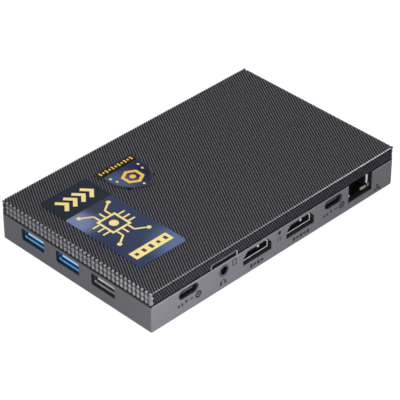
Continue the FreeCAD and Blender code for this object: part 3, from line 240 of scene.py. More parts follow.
def paint_base(tree, place, shade):
    """Painted shade in the port holes, navy in those of the blue ports as painted reflection of their blue,
    a painted highlight just below the seam on the long sides, and a painted shadow line at the seam.
    """
    # Painted shade in the port holes: darker from just behind the side faces, above the floor.
    inside = tree.step(depth_in_base(tree, place), 0.2, 0.5)
    split = tree.axes(place)
    height = split["Z"]
    above_floor = tree.step(height, 1.2, 2.0)
    end_x = box_mm("bottom_case")[1][0]
    on_end = tree.step(tree.calculate("ABSOLUTE", split["X"]), end_x - 0.3, end_x - 0.1)
    # Painted highlight: a pale band just below the seam, on the long sides only.
    highlight_band = tree.step(height, SEAM_Z - 0.95, SEAM_Z - 0.65)
    pale = tree.mix(highlight_band, shade, linear((150, 148, 158)))
    shade = tree.mix(on_end, pale, shade)
    # Painted shadow: a dark line at the seam, wider and darker on the ends.
    seam_shadow_line = tree.step(height, SEAM_Z - 0.35, SEAM_Z - 0.2)
    shade = tree.mix(seam_shadow_line, shade, linear((44, 42, 50)))
    end_seam_shadow_line = tree.step(height, SEAM_Z - 0.8, SEAM_Z - 0.6)
    end_shade = tree.mix(end_seam_shadow_line, shade, linear((26, 25, 29)))
    shade = tree.mix(on_end, shade, end_shade)
    # Painted reflection: navy shade near the blue ports, lit by their blue tongues; plain dark shade in the
    # other holes.
    nearest = 1.0
    for port in ("usb3_port_1", "usb3_port_2", "side_usb3_port"):
        nearest = tree.calculate("MINIMUM", tree.distance(place, middle(port + "_tongue")), nearest)
    beyond_blue_light = tree.step(nearest, 9.5, 11.0)
    hole = tree.mix(beyond_blue_light, linear((16, 48, 84)), linear((38, 37, 43)))
    return tree.mix(tree.calculate("MULTIPLY", inside, above_floor), shade, hole)


def paint_by_depth(node, bright_for, inner, upright=None):
    """The written colour on a node's front, another deeper in as painted shade, and if given a third above
    its lower lip, also painted shade.
    """
    def paint(tree, place, shade):
        start = front_depth(node) + bright_for
        if upright:
            foot = box_mm(node)[0][2]
            above_lip = tree.step(tree.axes(place)["Z"], foot + 0.6, foot + 1.0)
            shade = tree.mix(above_lip, shade, linear(upright))
        deep = tree.step(depth_in_base(tree, place), start, start + 0.3)
        return tree.mix(deep, shade, linear(inner))
    return paint


def paint_blue_tongue(tree, place, shade):
    """Painted highlight on the front of the tongue, and deep blue painted shade further in."""
    start = front_depth("usb3_port_1_tongue")
    deep = tree.step(depth_in_base(tree, place), start + 0.4, start + 1.2)
    return tree.mix(deep, shade, linear((8, 60, 104)))


def paint_long_edge_highlight(tree, place, shade):
    """A painted highlight, brighter towards the far end."""
    return tree.mix(tree.step(tree.axes(place)["X"], -10, 55), shade, linear((224, 222, 232)))


def lid_finish(name, tone, paint=None):
    return grained(name, tone, 0.55, grain=0.25, contrast=0.1, relief=0.01, specular=0.15, paint=paint)


def plain_finish(name, tone):
    """For ink and for other small added parts."""
    return grained(name, tone, 0.5, grain=0.4, contrast=0.04, relief=0.002, specular=0.15)


def printed_film(name, node, ground, patches, band_from, band_colour):
    """Satin film: soft patches of colour over the ground colour, with a plain band above band_from."""
    low, high = box_mm(node)

    def paint(tree, place, shade):
        for x, y, radius, colour in patches:
            reach = tree.distance(place, (low[0] + x, low[1] + y, high[2]))
            shade = tree.mix(tree.step(reach, radius * 0.25, radius), linear(colour), shade)
        in_band = tree.step(tree.axes(place)["Y"], band_from - 0.02, band_from + 0.02)
        return tree.mix(in_band, shade, linear(band_colour))

    return grained(name, ground, 0.4, grain=1.5, contrast=0.05, relief=0.004, specular=0.03, paint=paint)


def shell_steel(name, node, lip, inner, bright_for=0.35, glow=0.0, upright=None):
    """Sheet metal of a port: the lip's colour in front, the inner one, a painted shade, from bright_for
    behind its front.
    """
    return grained(name, lip, 0.28, 0.35, grain=0.5, contrast=0.05, stretch=(1, 1, 0.2), round_edge=0.06,
                   glow=glow, paint=paint_by_depth(node, bright_for, inner, upright))


def dress_nodes():
    """Gives each CAD node a finish of its own, or else that of its material slot. The lid gets none,
    because it is replaced."""
    info_patches = ((2.0, 37.0, 12.0, (122, 132, 168)), (15.0, 38.0, 9.0, (54, 60, 84)),
                    (22.0, 0.0, 17.0, (90, 112, 148)), (0.0, 17.0, 11.0, (44, 56, 82)))
    badge_patches = ((2.5, 9.0, 12.0, (72, 88, 124)), (18.5, 8.0, 10.0, (25, 25, 55)))
    by_slot = {
        "base_plastic": grained("base_plastic", (124, 122, 131), 0.52, grain=0.35, contrast=0.05,
                                relief=0.012, round_edge=0.12, specular=0.3, paint=paint_base),
        "feet_rubber": grained("feet_rubber", (40, 40, 42), 0.85, grain=0.3, relief=0.02, round_edge=0.2),
        "screw_steel": grained("screw_steel", (188, 188, 190), 0.35, 1.0, grain=0.2),
        "insert_brass": grained("insert_brass", (205, 170, 95), 0.35, 1.0, grain=0.2, round_edge=0.08),
        "info_print": printed_film("info_print", "info_sticker", (52, 62, 90), info_patches,
                                   INFO_BAND_Y, (30, 38, 50)),
        "badge_print": printed_film("badge_print", "badge_sticker", (38, 44, 78), badge_patches,
                                    BADGE_BAND_Y, (9, 8, 9)),
        "board_laminate": grained("board_laminate", (38, 94, 76), 0.45, grain=0.8, contrast=0.15),
        "chip_black": grained("chip_black", (38, 38, 40), 0.6, grain=0.15, contrast=0.15),
        "coil_grey": grained("coil_grey", (98, 98, 101), 0.7, grain=0.15, contrast=0.2),
        "capacitor_body": grained("capacitor_body", (190, 187, 178), 0.35, 1.0, grain=0.3),
        "spreader_aluminium": grained("spreader_aluminium", (200, 202, 205), 0.38, 1.0, grain=0.4,
                                      stretch=(0.05, 1, 1)),
        "pad_silicone": grained("pad_silicone", (158, 166, 178), 0.75, grain=0.6),
        "shield_tin": grained("shield_tin", (196, 196, 198), 0.32, 1.0, grain=0.5),
        "antenna_film": grained("antenna_film", (70, 66, 60), 0.5, grain=0.6),
        "lead_black": grained("lead_black", (42, 42, 44), 0.55, grain=0.4),
        "cell_steel": grained("cell_steel", (205, 205, 207), 0.28, 1.0, grain=0.4, stretch=(1, 0.1, 1)),
        "holder_plastic": grained("holder_plastic", (40, 40, 42), 0.55, grain=0.3),
        "port_steel": grained("port_steel", (200, 200, 204), 0.3, 1.0, grain=0.4),
        # Painted highlight and light: the blue tongues' fronts are pale cyan and glow.
        "tongue_blue": grained("tongue_blue", (152, 202, 230), 0.3, grain=0.4, contrast=0.06,
                               round_edge=0.1, glow=0.75, paint=paint_blue_tongue),
        # The white tongue glows a little, as painted light.
        "tongue_white": grained("tongue_white", (236, 236, 235), 0.35, grain=0.4, contrast=0.04,
                                round_edge=0.1, glow=0.25),
        "tongue_black": grained("tongue_black", (36, 35, 41), 0.4, grain=0.4, round_edge=0.06),
        "contact_gold": grained("contact_gold", (226, 190, 110), 0.25, 1.0, grain=0.3),
        "socket_black": grained("socket_black", (26, 26, 29), 0.42, grain=0.3, contrast=0.12, specular=0.25),
        "lamp_green": grained("lamp_green", (204, 198, 164), 0.25, grain=0.3, contrast=0.04),
        "lamp_clear": grained("lamp_clear", (226, 230, 232), 0.3, grain=0.2, contrast=0.03),
        "key_plastic": grained("key_plastic", (92, 91, 97), 0.42, grain=0.3, contrast=0.05, round_edge=0.1),
        "lock_steel": grained("lock_steel", (84, 84, 86), 0.4, 1.0, grain=0.4, round_edge=0.1),
    }
    # Painted reflection: the blue ports' shells take the blue of their tongues, a pale blue lip that glows a
    # little as painted light, and navy painted shade deeper in and above the lower lip.
    steel_with_blue_reflection = shell_steel("port_steel_with_blue_reflection", "usb3_port_1_shell", (118, 186, 230), (16, 58, 100),
                             glow=0.3, upright=(46, 76, 128))
    # Painted highlight: a bright thin lip on the video ports' shells that glows a little, with painted shade
    # behind it.
    video_steel = shell_steel("video_port_steel", "video_port_1_shell", (232, 231, 235), (30, 30, 36),
                              bright_for=0.05, glow=0.15)
    # Painted shade: the oval ports' steel shells are coloured dark all through.
    oval_steel = shell_steel("oval_port_steel", "usb_c_port_1_shell", (46, 45, 53), (44, 43, 51))
    by_node = {
        # Painted shade: the network jack's shield is darker deeper in.
        "network_jack_shield": shell_steel("jack_steel", "network_jack_shield", (96, 95, 104), (76, 76, 84)),
        "usb3_port_1_shell": steel_with_blue_reflection,
        "usb3_port_2_shell": steel_with_blue_reflection,
        "side_usb3_port_shell": steel_with_blue_reflection,
        # Painted highlight: a pale lip on the USB 2 shell that glows a little, with painted shade deeper in
        # and above the lower lip.
        "usb2_port_shell": shell_steel("usb2_port_steel", "usb2_port_shell", (204, 204, 202), (56, 56, 58),
                                       glow=0.1, upright=(84, 82, 80)),
        "video_port_1_shell": video_steel,
        "video_port_2_shell": video_steel,
        "usb_c_port_1_shell": oval_steel,
        "usb_c_port_2_shell": oval_steel,
        # Painted shade: black deeper in the audio jack's hole.
        "audio_jack_body": grained("jack_plastic", (72, 70, 78), 0.42, grain=0.3, contrast=0.06,
                                   paint=paint_by_depth("audio_jack_body", 0.1, (12, 12, 14))),
    }
    for part in frame["record"]["subparts"]:
        finish = by_node.get(part["node"]) or by_slot.get(part["material_slot"])
        if finish:
            node = frame["nodes"][part["node"]]
            node.data.materials.clear()
            node.data.materials.append(finish)


# Pieces
def add_piece(name, corners, faces, finishes, face_finish, body, smooth=False):
    mesh = bpy.data.meshes.new(name)
    mesh.from_pydata([mm(*c) for c in corners], [], faces)
    for finish in finishes:
        mesh.materials.append(finish)
    mesh.polygons.foreach_set("material_index", face_finish)
    mesh.polygons.foreach_set("use_smooth", [smooth] * len(faces))
    mesh.update()
    piece = bpy.data.objects.new(name, mesh)
    bpy.context.scene.collection.objects.link(piece)
    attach(piece, body)


class Lumps:
    """Collects small lumps, each a stack of rings with a flat cap, cut off at the sides of a box."""

    def __init__(self):
        self.corners, self.faces, self.finish = [], [], []

    def keep_inside(self, half_x, half_y, low_z, high_z):
        self.low = (-half_x, -half_y, low_z)
        self.high = (half_x, half_y, high_z)

    def add(self, centre, along, outward, outline, rings, tones):
        across = outward.cross(along)
        start, sides = len(self.corners), len(outline)
        for half_u, half_v, rise in rings:
            for u, v in outline:
                corner = centre + along * (u * half_u) + across * (v * half_v) + outward * rise
                self.corners.append([min(max(value, low), high)
                                     for value, low, high in zip(corner, self.low, self.high)])
        for ring in range(len(rings) - 1):
            base = start + ring * sides
            for step in range(sides):
                after = (step + 1) % sides
                self.faces.append((base + step, base + after, base + sides + after, base + sides + step))
                self.finish.append(tones[ring])
        cap = start + (len(rings) - 1) * sides
        self.faces.append(tuple(range(cap, cap + sides)))
        self.finish.append(tones[-1])


def spaced(half, pitch):
    """Places a pitch apart, centred, out to half on either side."""
    count = int(half / pitch)
    return [step * pitch for step in range(-count, count + 1)]


def under_sticker(x, y, stickers):
    for (low, high), overlap in stickers:
        if low[0] + overlap < x < high[0] - overlap and low[1] + overlap < y < high[1] - overlap:
            return True
    return False


def near_tab(x, z):
    beside, above = TAB_CLEAR
    return abs(x - TAB_CENTRE_X) < TAB_HALF + RIM_WIDE + beside and z < TAB_NOTCH_TOP + RIM_WIDE + above


def make_lid_body(finish, lit_end_finish):
    """The lid's CAD form set back by the height of the lumps, with its lower edge raised for the seam.
    Its end faces take a lighter tone, as painted light."""
    _, (half_x, half_y, top) = box_mm("top_cover")
    mesh = frame["nodes"]["top_cover"].data.copy()
    for corner in mesh.vertices:
        x, y, z = (c / MM for c in corner.co)
        end = abs(x) > half_x - OUTLINE_R - 0.05
        side = abs(y) > half_y - OUTLINE_R - 0.05
        if z > SEAM_Z - 0.01:
            x -= math.copysign(KNURL_HIGH, x) if end else 0
            y -= math.copysign(KNURL_HIGH, y) if side else 0
        if (end or side) and abs(z - SEAM_Z) < 0.01:
            z += END_GAP if end else SIDE_GAP
        if z > top - 0.5:
            z -= KNURL_HIGH
        corner.co = mm(x, y, z)
    mesh.materials.clear()
    mesh.materials.append(finish)
    mesh.materials.append(lit_end_finish)
    for polygon in mesh.polygons:
        polygon.material_index = int(abs(polygon.normal.x) > 0.7)
    body = bpy.data.objects.new("lid_body", mesh)
    bpy.context.scene.collection.objects.link(body)
    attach(body, "case")
    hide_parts("top_cover")


def make_knurl(tones):
    """Ridges all over the top and the long sides, and a row of beads along the long top edges."""
    _, (half_x, half_y, top) = box_mm("top_cover")
    back_x, back_y, back_z = half_x - KNURL_HIGH, half_y - KNURL_HIGH, top - KNURL_HIGH
    stickers = ((box_mm("info_sticker"), INFO_OVERLAP), (box_mm("badge_sticker"), BADGE_OVERLAP))
    x_axis, y_axis, z_axis = Vector((1, 0, 0)), Vector((0, 1, 0)), Vector((0, 0, 1))
    pitch_x, pitch_y = TOP_PITCH
    line = Vector((pitch_x / 2, pitch_y / 2, 0))
    line_half_gap = pitch_x * pitch_y / line.length / 4
    ridge = ((line.length / 2, line_half_gap, -0.03),) + RIDGE_CREST
    lumps = Lumps()
    lumps.keep_inside(back_x, back_y, 0, top)
    for row, y in enumerate(spaced(back_y, pitch_y / 2)):
        for x in spaced(back_x, pitch_x):
            x += pitch_x / 2 * (row % 2)
            if x < back_x - 0.2 and not under_sticker(x, y, stickers):
                lumps.add(Vector((x, y, back_z)), line.normalized(), z_axis, BLOCK, ridge, (0, 1, 2))
    lumps.keep_inside(half_x, half_y, SEAM_Z + SIDE_GAP, top)
    for side in (-1, 1):
        outward = y_axis * side
        side_line = Vector((-side * pitch_x, 0, -pitch_y)).normalized()
        for row in range(SIDE_ROWS):
            z = SEAM_Z + LOW_ROW + row * SIDE_RISE
            for x in spaced(back_x - 0.5, pitch_x):
                x += pitch_x / 2 * (row % 2)
                if x < back_x - 0.4 and not (side < 0 and near_tab(x, z)):
                    lumps.add(Vector((x, side * back_y, z)), side_line, outward, BLOCK, ridge, (3, 4, 4))
        edge_outward = (outward + z_axis).normalized()
        for x in spaced(back_x - 0.5, pitch_x):
            lumps.add(Vector((x, side * (back_y - 0.05), back_z + 0.1)), x_axis, edge_outward, ROUND,
                      LONG_BEAD, (3, 5, 5))
    add_piece("lid_knurl", lumps.corners, lumps.faces, tones, lumps.finish, "case")


def make_end_knurl(tones):
    """Round knobs on the short sides and beads along their top edges, wide ones on the far side."""
    _, (half_x, half_y, top) = box_mm("top_cover")
    back_x, back_z = half_x - KNURL_HIGH, top - KNURL_HIGH
    z_axis = Vector((0, 0, 1))
    pitch = 2 * (half_y - END_FIRST) / (END_COLUMNS - 1)
    lumps = Lumps()
    lumps.keep_inside(half_x, half_y, SEAM_Z + END_GAP, top)
    for side in (-1, 1):
        outward = Vector((side, 0, 0))
        edge_outward = (outward + z_axis).normalized()
        for column in range(END_COLUMNS):
            y = -half_y + END_FIRST + column * pitch
            at_corner = column in (0, END_COLUMNS - 1)
            lean = Vector((side, math.copysign(1, y), 0)).normalized() if at_corner else outward
            for row in range(END_ROWS):
                z = SEAM_Z + LOW_ROW + row * END_RISE
                lumps.add(Vector((side * back_x, y, z)), z_axis.cross(lean), lean, ROUND, KNOB,
                          (0, 3, 3) if at_corner else (0, 1, 1))
            wide = side > 0 and not at_corner
            lumps.add(Vector((side * back_x, y, back_z)), z_axis.cross(outward), edge_outward, ROUND,
                      FAR_BEAD if wide else END_BEAD, (0, 0, 2) if side < 0 else (4, 4, 4))
    add_piece("lid_end_knurl", lumps.corners, lumps.faces, tones, lumps.finish, "case",
              smooth=True)


def make_tab_rim(finish):
    """The bevelled edge of the notch that the card slot's tab stands in, coloured bright as a painted
    highlight.
    """
    face = -box_mm("top_cover")[1][1]
    foot = SEAM_Z + SIDE_GAP
    path = [(-TAB_HALF, foot), (-TAB_HALF, TAB_NOTCH_TOP), (TAB_HALF, TAB_NOTCH_TOP), (TAB_HALF, foot)]
    wide = [(-TAB_HALF - RIM_WIDE, foot), (-TAB_HALF - RIM_WIDE, TAB_NOTCH_TOP + RIM_WIDE),
            (TAB_HALF + RIM_WIDE, TAB_NOTCH_TOP + RIM_WIDE), (TAB_HALF + RIM_WIDE, foot)]
    corners = []
    for inner, outer in zip(path, wide):
        profile = ((inner, RIM_BACK), (inner, RIM_INNER), (outer, RIM_OUTER), (outer, RIM_BACK))
        for (x, z), setback in profile:
            corners.append((TAB_CENTRE_X + x, face + setback, z))
    faces = []
    for step in range(3):
        for ring in range(4):
            after = (ring + 1) % 4
            faces.append((4 * step + ring, 4 * step + after, 4 * step + 4 + after, 4 * step + 4 + ring))
    faces += [(0, 3, 2, 1), (12, 13, 14, 15)]
    add_piece("tab_rim", corners, faces, [finish], [0] * len(faces), "case")


def wedge(x_from, x_to, y, z_from, z_to, depth):
    """Corners and faces of a low prism whose sloping face looks to the front and up."""
    back, lip = y + depth, z_from + 0.15
    corners = [(x_from, y, z_from), (x_to, y, z_from), (x_to, back, z_from), (x_from, back, z_from),
               (x_from, back, z_to), (x_to, back, z_to), (x_from, y, lip), (x_to, y, lip)]
    faces = [(0, 3, 2, 1), (0, 1, 7, 6), (6, 7, 5, 4), (3, 4, 5, 2), (0, 6, 4, 3), (1, 2, 5, 7)]
    return corners, faces


def make_network_details(guide_finish, spring_finish):
    """The light guide on the floor of the network jack, and the bent springs on its two side walls."""
    low = box_mm("network_jack_housing")[0]
    centre, front = middle("network_jack_housing")[0], low[1]
    floor_z = low[2] + JACK_FLOOR
    corners, faces = wedge(centre + 2.7, centre + JACK_CAVITY_HALF, front + 0.05, floor_z, floor_z + 0.65,
                           0.65)
    add_piece("network_light_guide", corners, faces, [guide_finish], [0] * len(faces), "case")
    for name, side, bows, z_from, z_to in (("network_spring_right", 1, (0.1, 0.45), 6.3, 10.7),
                                           ("network_spring_left", -1, (2.4, 2.2), 4.7, 5.4)):
        wall = centre + side * JACK_CAVITY_HALF
        corners = []
        for bow, z in zip(bows, (z_from, z_to)):
            corners += [(wall, front - 0.3, z), (wall - side * bow, front + 0.25, z), (wall, front + 0.8, z)]
        faces = [(0, 1, 4, 3), (1, 2, 5, 4), (2, 0, 3, 5), (2, 1, 0), (3, 4, 5)]
        if side > 0:
            faces = [tuple(reversed(face)) for face in faces]
        add_piece(name, corners, faces, [spring_finish], [0] * len(faces), "case")


def make_video_glints(finish):
    """A small pale wedge on the front of each video port's tongue, as a painted glint."""
    for number in (1, 2):
        low = box_mm("video_port_%d_tongue" % number)[0]
        x = middle("video_port_%d_tongue" % number)[0] + 3.1
        corners, faces = wedge(x - 0.45, x + 0.45, low[1] - 0.3, low[2] + 1.15, low[2] + 1.85, 0.3)
        add_piece("video_glint_%d" % number, corners, faces, [finish], [0] * len(faces), "case")


# Flat shapes, for printed marks and for thin strips of painted shadow and painted highlight. Each helper
# returns a list of outlines.
def rect(x, y, wide, high):
    return [[(x - wide / 2, y - high / 2), (x + wide / 2, y - high / 2),
             (x + wide / 2, y + high / 2), (x - wide / 2, y + high / 2)]]


def stroke(points, width, closed=False):
    """One four-cornered outline for each run between the points, mitred where they meet."""
    count = len(points)
    sides = []
    for i, (x, y) in enumerate(points):
        before = points[i - 1] if i or closed else (2 * x - points[1][0], 2 * y - points[1][1])
        after = points[(i + 1) % count] if i < count - 1 or closed else (2 * x - points[-2][0],
                                                                         2 * y - points[-2][1])
        first = Vector((x - before[0], y - before[1])).normalized()
        second = Vector((after[0] - x, after[1] - y)).normalized()
        middle_way = (first + second).normalized()
        reach = width / 2 / max(0.4, middle_way.dot(first))
        sides.append(((x - middle_way.y * reach, y + middle_way.x * reach),
                      (x + middle_way.y * reach, y - middle_way.x * reach)))
    last = count if closed else count - 1
    return [[sides[i][1], sides[(i + 1) % count][1], sides[(i + 1) % count][0], sides[i][0]]
            for i in range(last)]


def ring_points(x, y, radius, start=0, end=360, count=24):
    """Points on an arc, or all round without the first one again at the end."""
    steps = count if abs(end - start) >= 360 else count + 1
    angles = [math.radians(start + (end - start) * i / count) for i in range(steps)]
    return [(x + radius * math.cos(angle), y + radius * math.sin(angle)) for angle in angles]


def disc(x, y, radius, count=20):
    return [ring_points(x, y, radius, count=count)]


def add_print(name, shapes, place, outward, finish, body, thick=FILM_INK):
    """A piece of flat shapes. place(u, v) gives a point on the surface, and outward the way they rise."""
    corners, faces = [], []
    for shape in shapes:
        start, size = len(corners), len(shape)
        corners += [place(u, v) for u, v in shape]
        corners += [tuple(Vector(place(u, v)) + Vector(outward) * thick) for u, v in shape]
        faces.append(tuple(range(start + size, start + 2 * size)))
        for i in range(size):
            after = (i + 1) % size
            faces.append((start + i, start + after, start + size + after, start + size + i))
    add_piece(name, corners, faces, [finish], [0] * len(faces), body)


def make_oval_highlights(finish):
    """A pale strip at the lower edge of each oval port's tongue, as a painted highlight."""
    for number in (1, 2):
        node = "usb_c_port_%d_tongue" % number
        x, _, z = middle(node)
        front = box_mm(node)[0][1]
        add_print("oval_edge_%d" % number, rect(x, z - 0.44, 6.4, 0.2), lambda u, v: (u, front, v),
                  (0, -1, 0), finish, "case", thick=0.1)


def print_info_sticker(pale, bar_mark):
    """A band of chevrons, a plain circuit motif, and a bar with a row of blocks on it."""
    low, high = box_mm("info_sticker")
    wide = high[0] - low[0]

    def place(u, v):
        return (low[0] + u, low[1] + v, high[2])

    chevrons = []
    for step in range(4):
        x = 4.4 + step * 4.2
        chevrons += stroke([(x, 51.0), (x + 3.0, 47.6), (x, 44.2)], 1.7)
    add_print("info_band_marks", chevrons, place, (0, 0, 1), pale, "case")

    x, y = wide / 2, 26.5
    chip_half, pin_far, pin_long, line_wide = 4.2, 6.4, 3.2, 0.8
    marks = stroke([(x - chip_half, y - chip_half), (x + chip_half, y - chip_half),
                    (x + chip_half, y + chip_half), (x - chip_half, y + chip_half)], 1.0, closed=True)
    marks += disc(x, y, 1.9)
    for pin in (-2.8, 0.0, 2.8):
        for side in (-1, 1):
            marks += rect(x + pin, y + side * pin_far, line_wide, pin_long)
            marks += rect(x + side * pin_far, y + pin, pin_long, line_wide)
    for side in (-1, 1):
        for up in (1, -1):
            marks += stroke([(x + side * 2.8, y + up * 8.0), (x + side * 6.8, y + up * 10.6)], line_wide)
            marks += disc(x + side * 7.4, y + up * 11.0, 1.0, 12)
    bar_y = 6.6
    marks += rect(wide / 2, bar_y, wide - 5.0, 4.6)
    add_print("info_marks", marks, place, (0, 0, 1), pale, "case")

    blocks = []
    for step in range(5):
        blocks += rect(4.6 + step * 3.6, bar_y, 1.5, 1.5 + 0.45 * (step % 3))
    add_print("info_bar_marks", blocks, lambda u, v: (low[0] + u, low[1] + v, high[2] + FILM_INK),
              (0, 0, 1), bar_mark, "case")


def badge_outline(centre, foot, top, middle_y):
    """The corners of the shield film's upper face, in order round its middle."""
    corners = [[c / MM for c in corner.co] for corner in frame["nodes"]["badge_sticker"].data.vertices]
    upper = set((round(x - centre, 3), round(y - foot, 3)) for x, y, z in corners if z > top - 0.01)
    return sorted(upper, key=lambda c: math.atan2(c[1] - middle_y, c[0]))


def print_badge(gold, pale, dark):
    """A row of ticks, a dark border inside the film's outline, a ring with a disc, and five dots."""
    low, high = box_mm("badge_sticker")
    centre = (low[0] + high[0]) / 2
    middle_y = (high[1] - low[1]) / 2

    def place(u, v):
        return (centre + u, low[1] + v, high[2])

    ticks = []
    for step in range(-5, 6):
        ticks += rect(step * 1.6, 18.1, 0.75, 1.9 if step % 2 else 1.1)
    add_print("badge_band_marks", ticks, place, (0, 0, 1), gold, "case")

    shrink = 0.955
    border = [(u * shrink, middle_y + (v - middle_y) * shrink)
              for u, v in badge_outline(centre, low[1], high[2], middle_y)]
    add_print("badge_border", stroke(border, 0.8, closed=True), place, (0, 0, 1), dark, "case")

    motif_y = 8.6
    motif = stroke(ring_points(0.0, motif_y, 3.9, 30, 390, 6), 1.35, closed=True)
    motif += disc(0.0, motif_y, 1.3)
    add_print("badge_motif", motif, place, (0, 0, 1), gold, "case")

    dots = []
    for x, y in ((-7.2, 13.2), (-6.6, 10.2), (7.2, 13.2), (6.6, 10.2), (0.0, 2.3)):
        dots += [[(x - 0.6, y), (x, y - 0.75), (x + 0.6, y), (x, y + 0.75)]]
    add_print("badge_dots", dots, place, (0, 0, 1), pale, "case")


def oval_port_signs(port):
    """Blocks, a bar and a ringed dot below an oval port, and a dark ring round its mouth as painted shadow.
    """
    x = middle(port)[0]
    signs = rect(x - 5.0, 5.0, 1.1, 1.1) + rect(x - 3.2, 5.0, 0.9, 1.3) + rect(x - 1.2, 5.5, 1.0, 1.3)
    signs += rect(x + 1.6, 5.3, 1.9, 0.5)
    signs += stroke(ring_points(x + 5.0, 5.4, 1.2, count=16), 0.8, closed=True)
    signs += disc(x + 5.0, 5.4, 0.5, 10)
    low, high = box_mm(port)
    radius = (high[2] - low[2]) / 2
    spare = 0.13
    right = ring_points(0, OVAL_PORT_Z, radius + spare, -90, 90, 8)
    left = ring_points(0, OVAL_PORT_Z, radius + spare, 90, 270, 8)
    mouth = [(high[0] - radius + spare + u, v) for u, v in right]
    mouth += [(low[0] + radius - spare + u, v) for u, v in left]
    return signs + stroke(mouth, 0.34, closed=True)


def headphone_sign(x, z):
    signs = stroke(ring_points(x, z + 0.2, 1.15, 0, 180, 12), 0.42)
    return signs + rect(x - 1.15, z - 0.2, 0.95, 1.5) + rect(x + 1.15, z - 0.2, 0.95, 1.5)


def card_sign(x, z):
    return stroke([(x - 0.95, z - 1.3), (x + 0.95, z - 1.3), (x + 0.95, z + 0.7), (x + 0.35, z + 1.3),
                   (x - 0.95, z + 1.3)], 0.42, closed=True)


def video_port_signs(port, count):
    x = middle(port)[0] - 3.4
    signs = []
    for step in range(count):
        signs += rect(x + step * 1.9, 3.1, 1.35, 1.6 - 0.5 * (step % 2))
    return signs


def network_sign(x, z):
    signs = rect(x, z + 0.9, 1.3, 1.0) + rect(x, z - 0.1, 0.5, 1.2) + rect(x, z - 0.5, 2.8, 0.45)
    return signs + rect(x - 1.2, z - 1.1, 1.0, 0.9) + rect(x + 1.2, z - 1.1, 1.0, 0.9)


def print_port_signs(ink):
    """Small generic pictograms beside the ports of the long side, and painted shadow rings round the oval
    ports' mouths.
    """
    front = box_mm("bottom_case")[0][1]
    signs = oval_port_signs("usb_c_port_1_shell") + oval_port_signs("usb_c_port_2_shell")
    signs += headphone_sign(middle("audio_jack_body")[0] - 0.5, 3.6)
    signs += card_sign(*CARD_SIGN)
    signs += video_port_signs("video_port_1_shell", 4) + video_port_signs("video_port_2_shell", 5)
    signs += network_sign(*NETWORK_SIGN)
    signs += stroke(ring_points(*RESET_SIGN, 0.9, -60, 240, 14), 0.34)
    add_print("port_signs", signs, lambda u, v: (u, front, v), (0, -1, 0), ink, "case",
              thick=CASE_INK)


def print_mouth_shadows(black):
    """Dark edges round the card slot and the reset hole."""
    front = box_mm("bottom_case")[0][1]
    left, right = TAB_CENTRE_X - CARD_MOUTH_HALF, TAB_CENTRE_X + CARD_MOUTH_HALF
    foot, top = CARD_MOUTH_Z
    edges = stroke([(left, foot), (right, foot), (right, top), (left, top)], 0.36, closed=True)
    edges += stroke(ring_points(*RESET_HOLE, 0.6, count=12), 0.4, closed=True)
    add_print("mouth_shadows", edges, lambda u, v: (u, front, v), (0, -1, 0), black, "case",
              thick=CASE_INK)


def print_power_sign(ink):
    """An open ring with an upright stroke, on the power key."""
    front = box_mm("power_key")[1][0] - 0.02
    _, y, z = middle("power_key")
    marks = stroke(ring_points(0, 0, 1.15, 125, 415, 18), 0.32) + rect(0, 0.95, 0.32, 1.1)
    add_print("power_sign", marks, lambda u, v: (front, y + u, z + v), (1, 0, 0), ink,
              "power_button", thick=0.02)


# Stage
def seen_directly(tree):
    """1 for rays that come from the camera, or by way of a mirror or clear material."""
    rays = tree.add("LightPath", {}).outputs
    share = tree.calculate("MAXIMUM", rays["Is Camera Ray"], rays["Is Glossy Ray"])
    return tree.calculate("MAXIMUM", share, rays["Is Transmission Ray"])


def make_floor():
    """White ground that takes the shadow and can be seen through from below."""
    mesh = bpy.data.meshes.new("floor")
    half = FLOOR_SIZE / 2
    mesh.from_pydata([mm(-half, -half, 0), mm(half, -half, 0), mm(half, half, 0), mm(-half, half, 0)], [],
                     [(0, 1, 2, 3)])
    floor = bpy.data.objects.new("floor", mesh)
    bpy.context.scene.collection.objects.link(floor)
    material = bpy.data.materials.new("floor")
    tree = Tree(material)
    matte = tree.add("BsdfDiffuse", {"Color": linear(FLOOR_COLOUR)}).outputs["BSDF"]
    glow = tree.add("Emission", {"Strength": tree.calculate("MULTIPLY", seen_directly(tree), FLOOR_GLOW)})
    both = tree.add("AddShader", {0: matte, 1: glow.outputs["Emission"]}).outputs["Shader"]
    below = tree.add("NewGeometry", {}).outputs["Backfacing"]
    clear = tree.add("BsdfTransparent", {}).outputs["BSDF"]
    from_above = tree.add("MixShader", {0: below, 1: both, 2: clear}).outputs["Shader"]
    tree.give(tree.nodes["Material Output"], "Surface", from_above)
    mesh.materials.append(material)


def make_world():
    world = bpy.data.worlds.new("studio")
    bpy.context.scene.world = world
    tree = Tree(world)
    plain = tree.nodes["Background"]
    plain.inputs["Color"].default_value = (1, 1, 1, 1)
    plain.inputs["Strength"].default_value = WORLD_LIGHT
    white = tree.add("Background", {"Color": (1, 1, 1, 1)}).outputs["Background"]
    both = tree.add("MixShader", {0: seen_directly(tree), 1: plain.outputs["Background"], 2: white})
    tree.give(tree.nodes["World Output"], "Surface", both.outputs["Shader"])


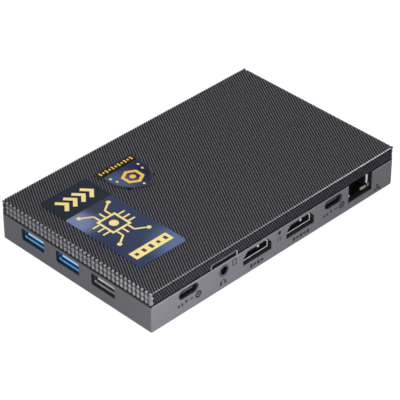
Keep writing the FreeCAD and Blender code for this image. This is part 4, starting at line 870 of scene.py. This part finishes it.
def make_lamps():
    for name, (place, size, power) in LAMPS.items():
        data = bpy.data.lights.new(name, "AREA")
        data.size = size * MM
        data.energy = power
        lamp = bpy.data.objects.new(name, data)
        lamp.location = mm(*place)
        lamp.rotation_euler = (-lamp.location).to_track_quat("-Z", "Y").to_euler()
        lamp.visible_camera = False
        bpy.context.scene.collection.objects.link(lamp)


def make_camera():
    data = bpy.data.cameras.new("camera")
    data.sensor_width = SENSOR_WIDE
    data.lens = CAMERA_LENS
    camera = bpy.data.objects.new("camera", data)
    camera.location = mm(*CAMERA_AT)
    camera.rotation_euler = (mm(*CAMERA_AIM) - mm(*CAMERA_AT)).to_track_quat("-Z", "Y").to_euler()
    bpy.context.scene.collection.objects.link(camera)
    bpy.context.scene.camera = camera


make_camera()
make_world()
make_lamps()
make_floor()
bpy.context.scene.view_settings.view_transform = "Standard"

dress_nodes()
# Painted shade in the lid's valleys, and a lighter end tone as painted light.
make_lid_body(lid_finish("lid_valley_shade", (24, 23, 27)), lid_finish("lid_end_valley_lit", (84, 83, 89)))
# Painted shade and light: dark flanks, lighter slopes and crests, and darker tones on the long sides, all
# copies of one dark finish, with a painted highlight on the long-edge beads.
make_knurl([lid_finish("lid_flank_shade", (22, 21, 27)), lid_finish("lid_slope", (88, 87, 94)),
            lid_finish("lid_crest", (104, 103, 110)), lid_finish("lid_side_flank_shade", (28, 26, 36)),
            lid_finish("lid_side_crest", (72, 69, 79)),
            lid_finish("lid_long_edge_highlight", (146, 144, 152), paint_long_edge_highlight)])
# Painted light: the ends' knobs and corner knobs are lighter copies of the lid's dark finish, and the near
# end's beads a painted highlight; the far end's beads are dark.
make_end_knurl([lid_finish("lid_end_flank_lit", (142, 141, 147)), lid_finish("lid_end_crest_lit", (180, 179, 186)),
                lid_finish("lid_end_edge_highlight", (224, 223, 229)), lid_finish("lid_corner_lit", (136, 135, 142)),
                lid_finish("lid_far_edge", (70, 69, 75))])
# Painted highlight on the rim of the tab's notch.
make_tab_rim(grained("rim_highlight", (196, 195, 202), 0.4, grain=0.3))
pale_ink = plain_finish("pale_ink", (248, 226, 150))
gold_ink = plain_finish("gold_ink", (242, 192, 84))
print_info_sticker(pale_ink, plain_finish("bar_ink", (60, 56, 44)))
print_badge(gold_ink, pale_ink, plain_finish("border_ink", (9, 8, 10)))
make_network_details(plain_finish("guide_plastic", (206, 200, 166)),
                     plain_finish("spring_steel", (235, 235, 240)))
# Painted glint on each video port's tongue.
make_video_glints(plain_finish("glint_paint", (228, 228, 234)))
print_port_signs(plain_finish("sign_ink", (46, 44, 54)))
print_mouth_shadows(plain_finish("black_shadow", (8, 8, 10)))
# Painted highlight along each oval port's tongue.
make_oval_highlights(plain_finish("oval_highlight", (112, 110, 120)))
print_power_sign(plain_finish("key_ink", (210, 210, 214)))
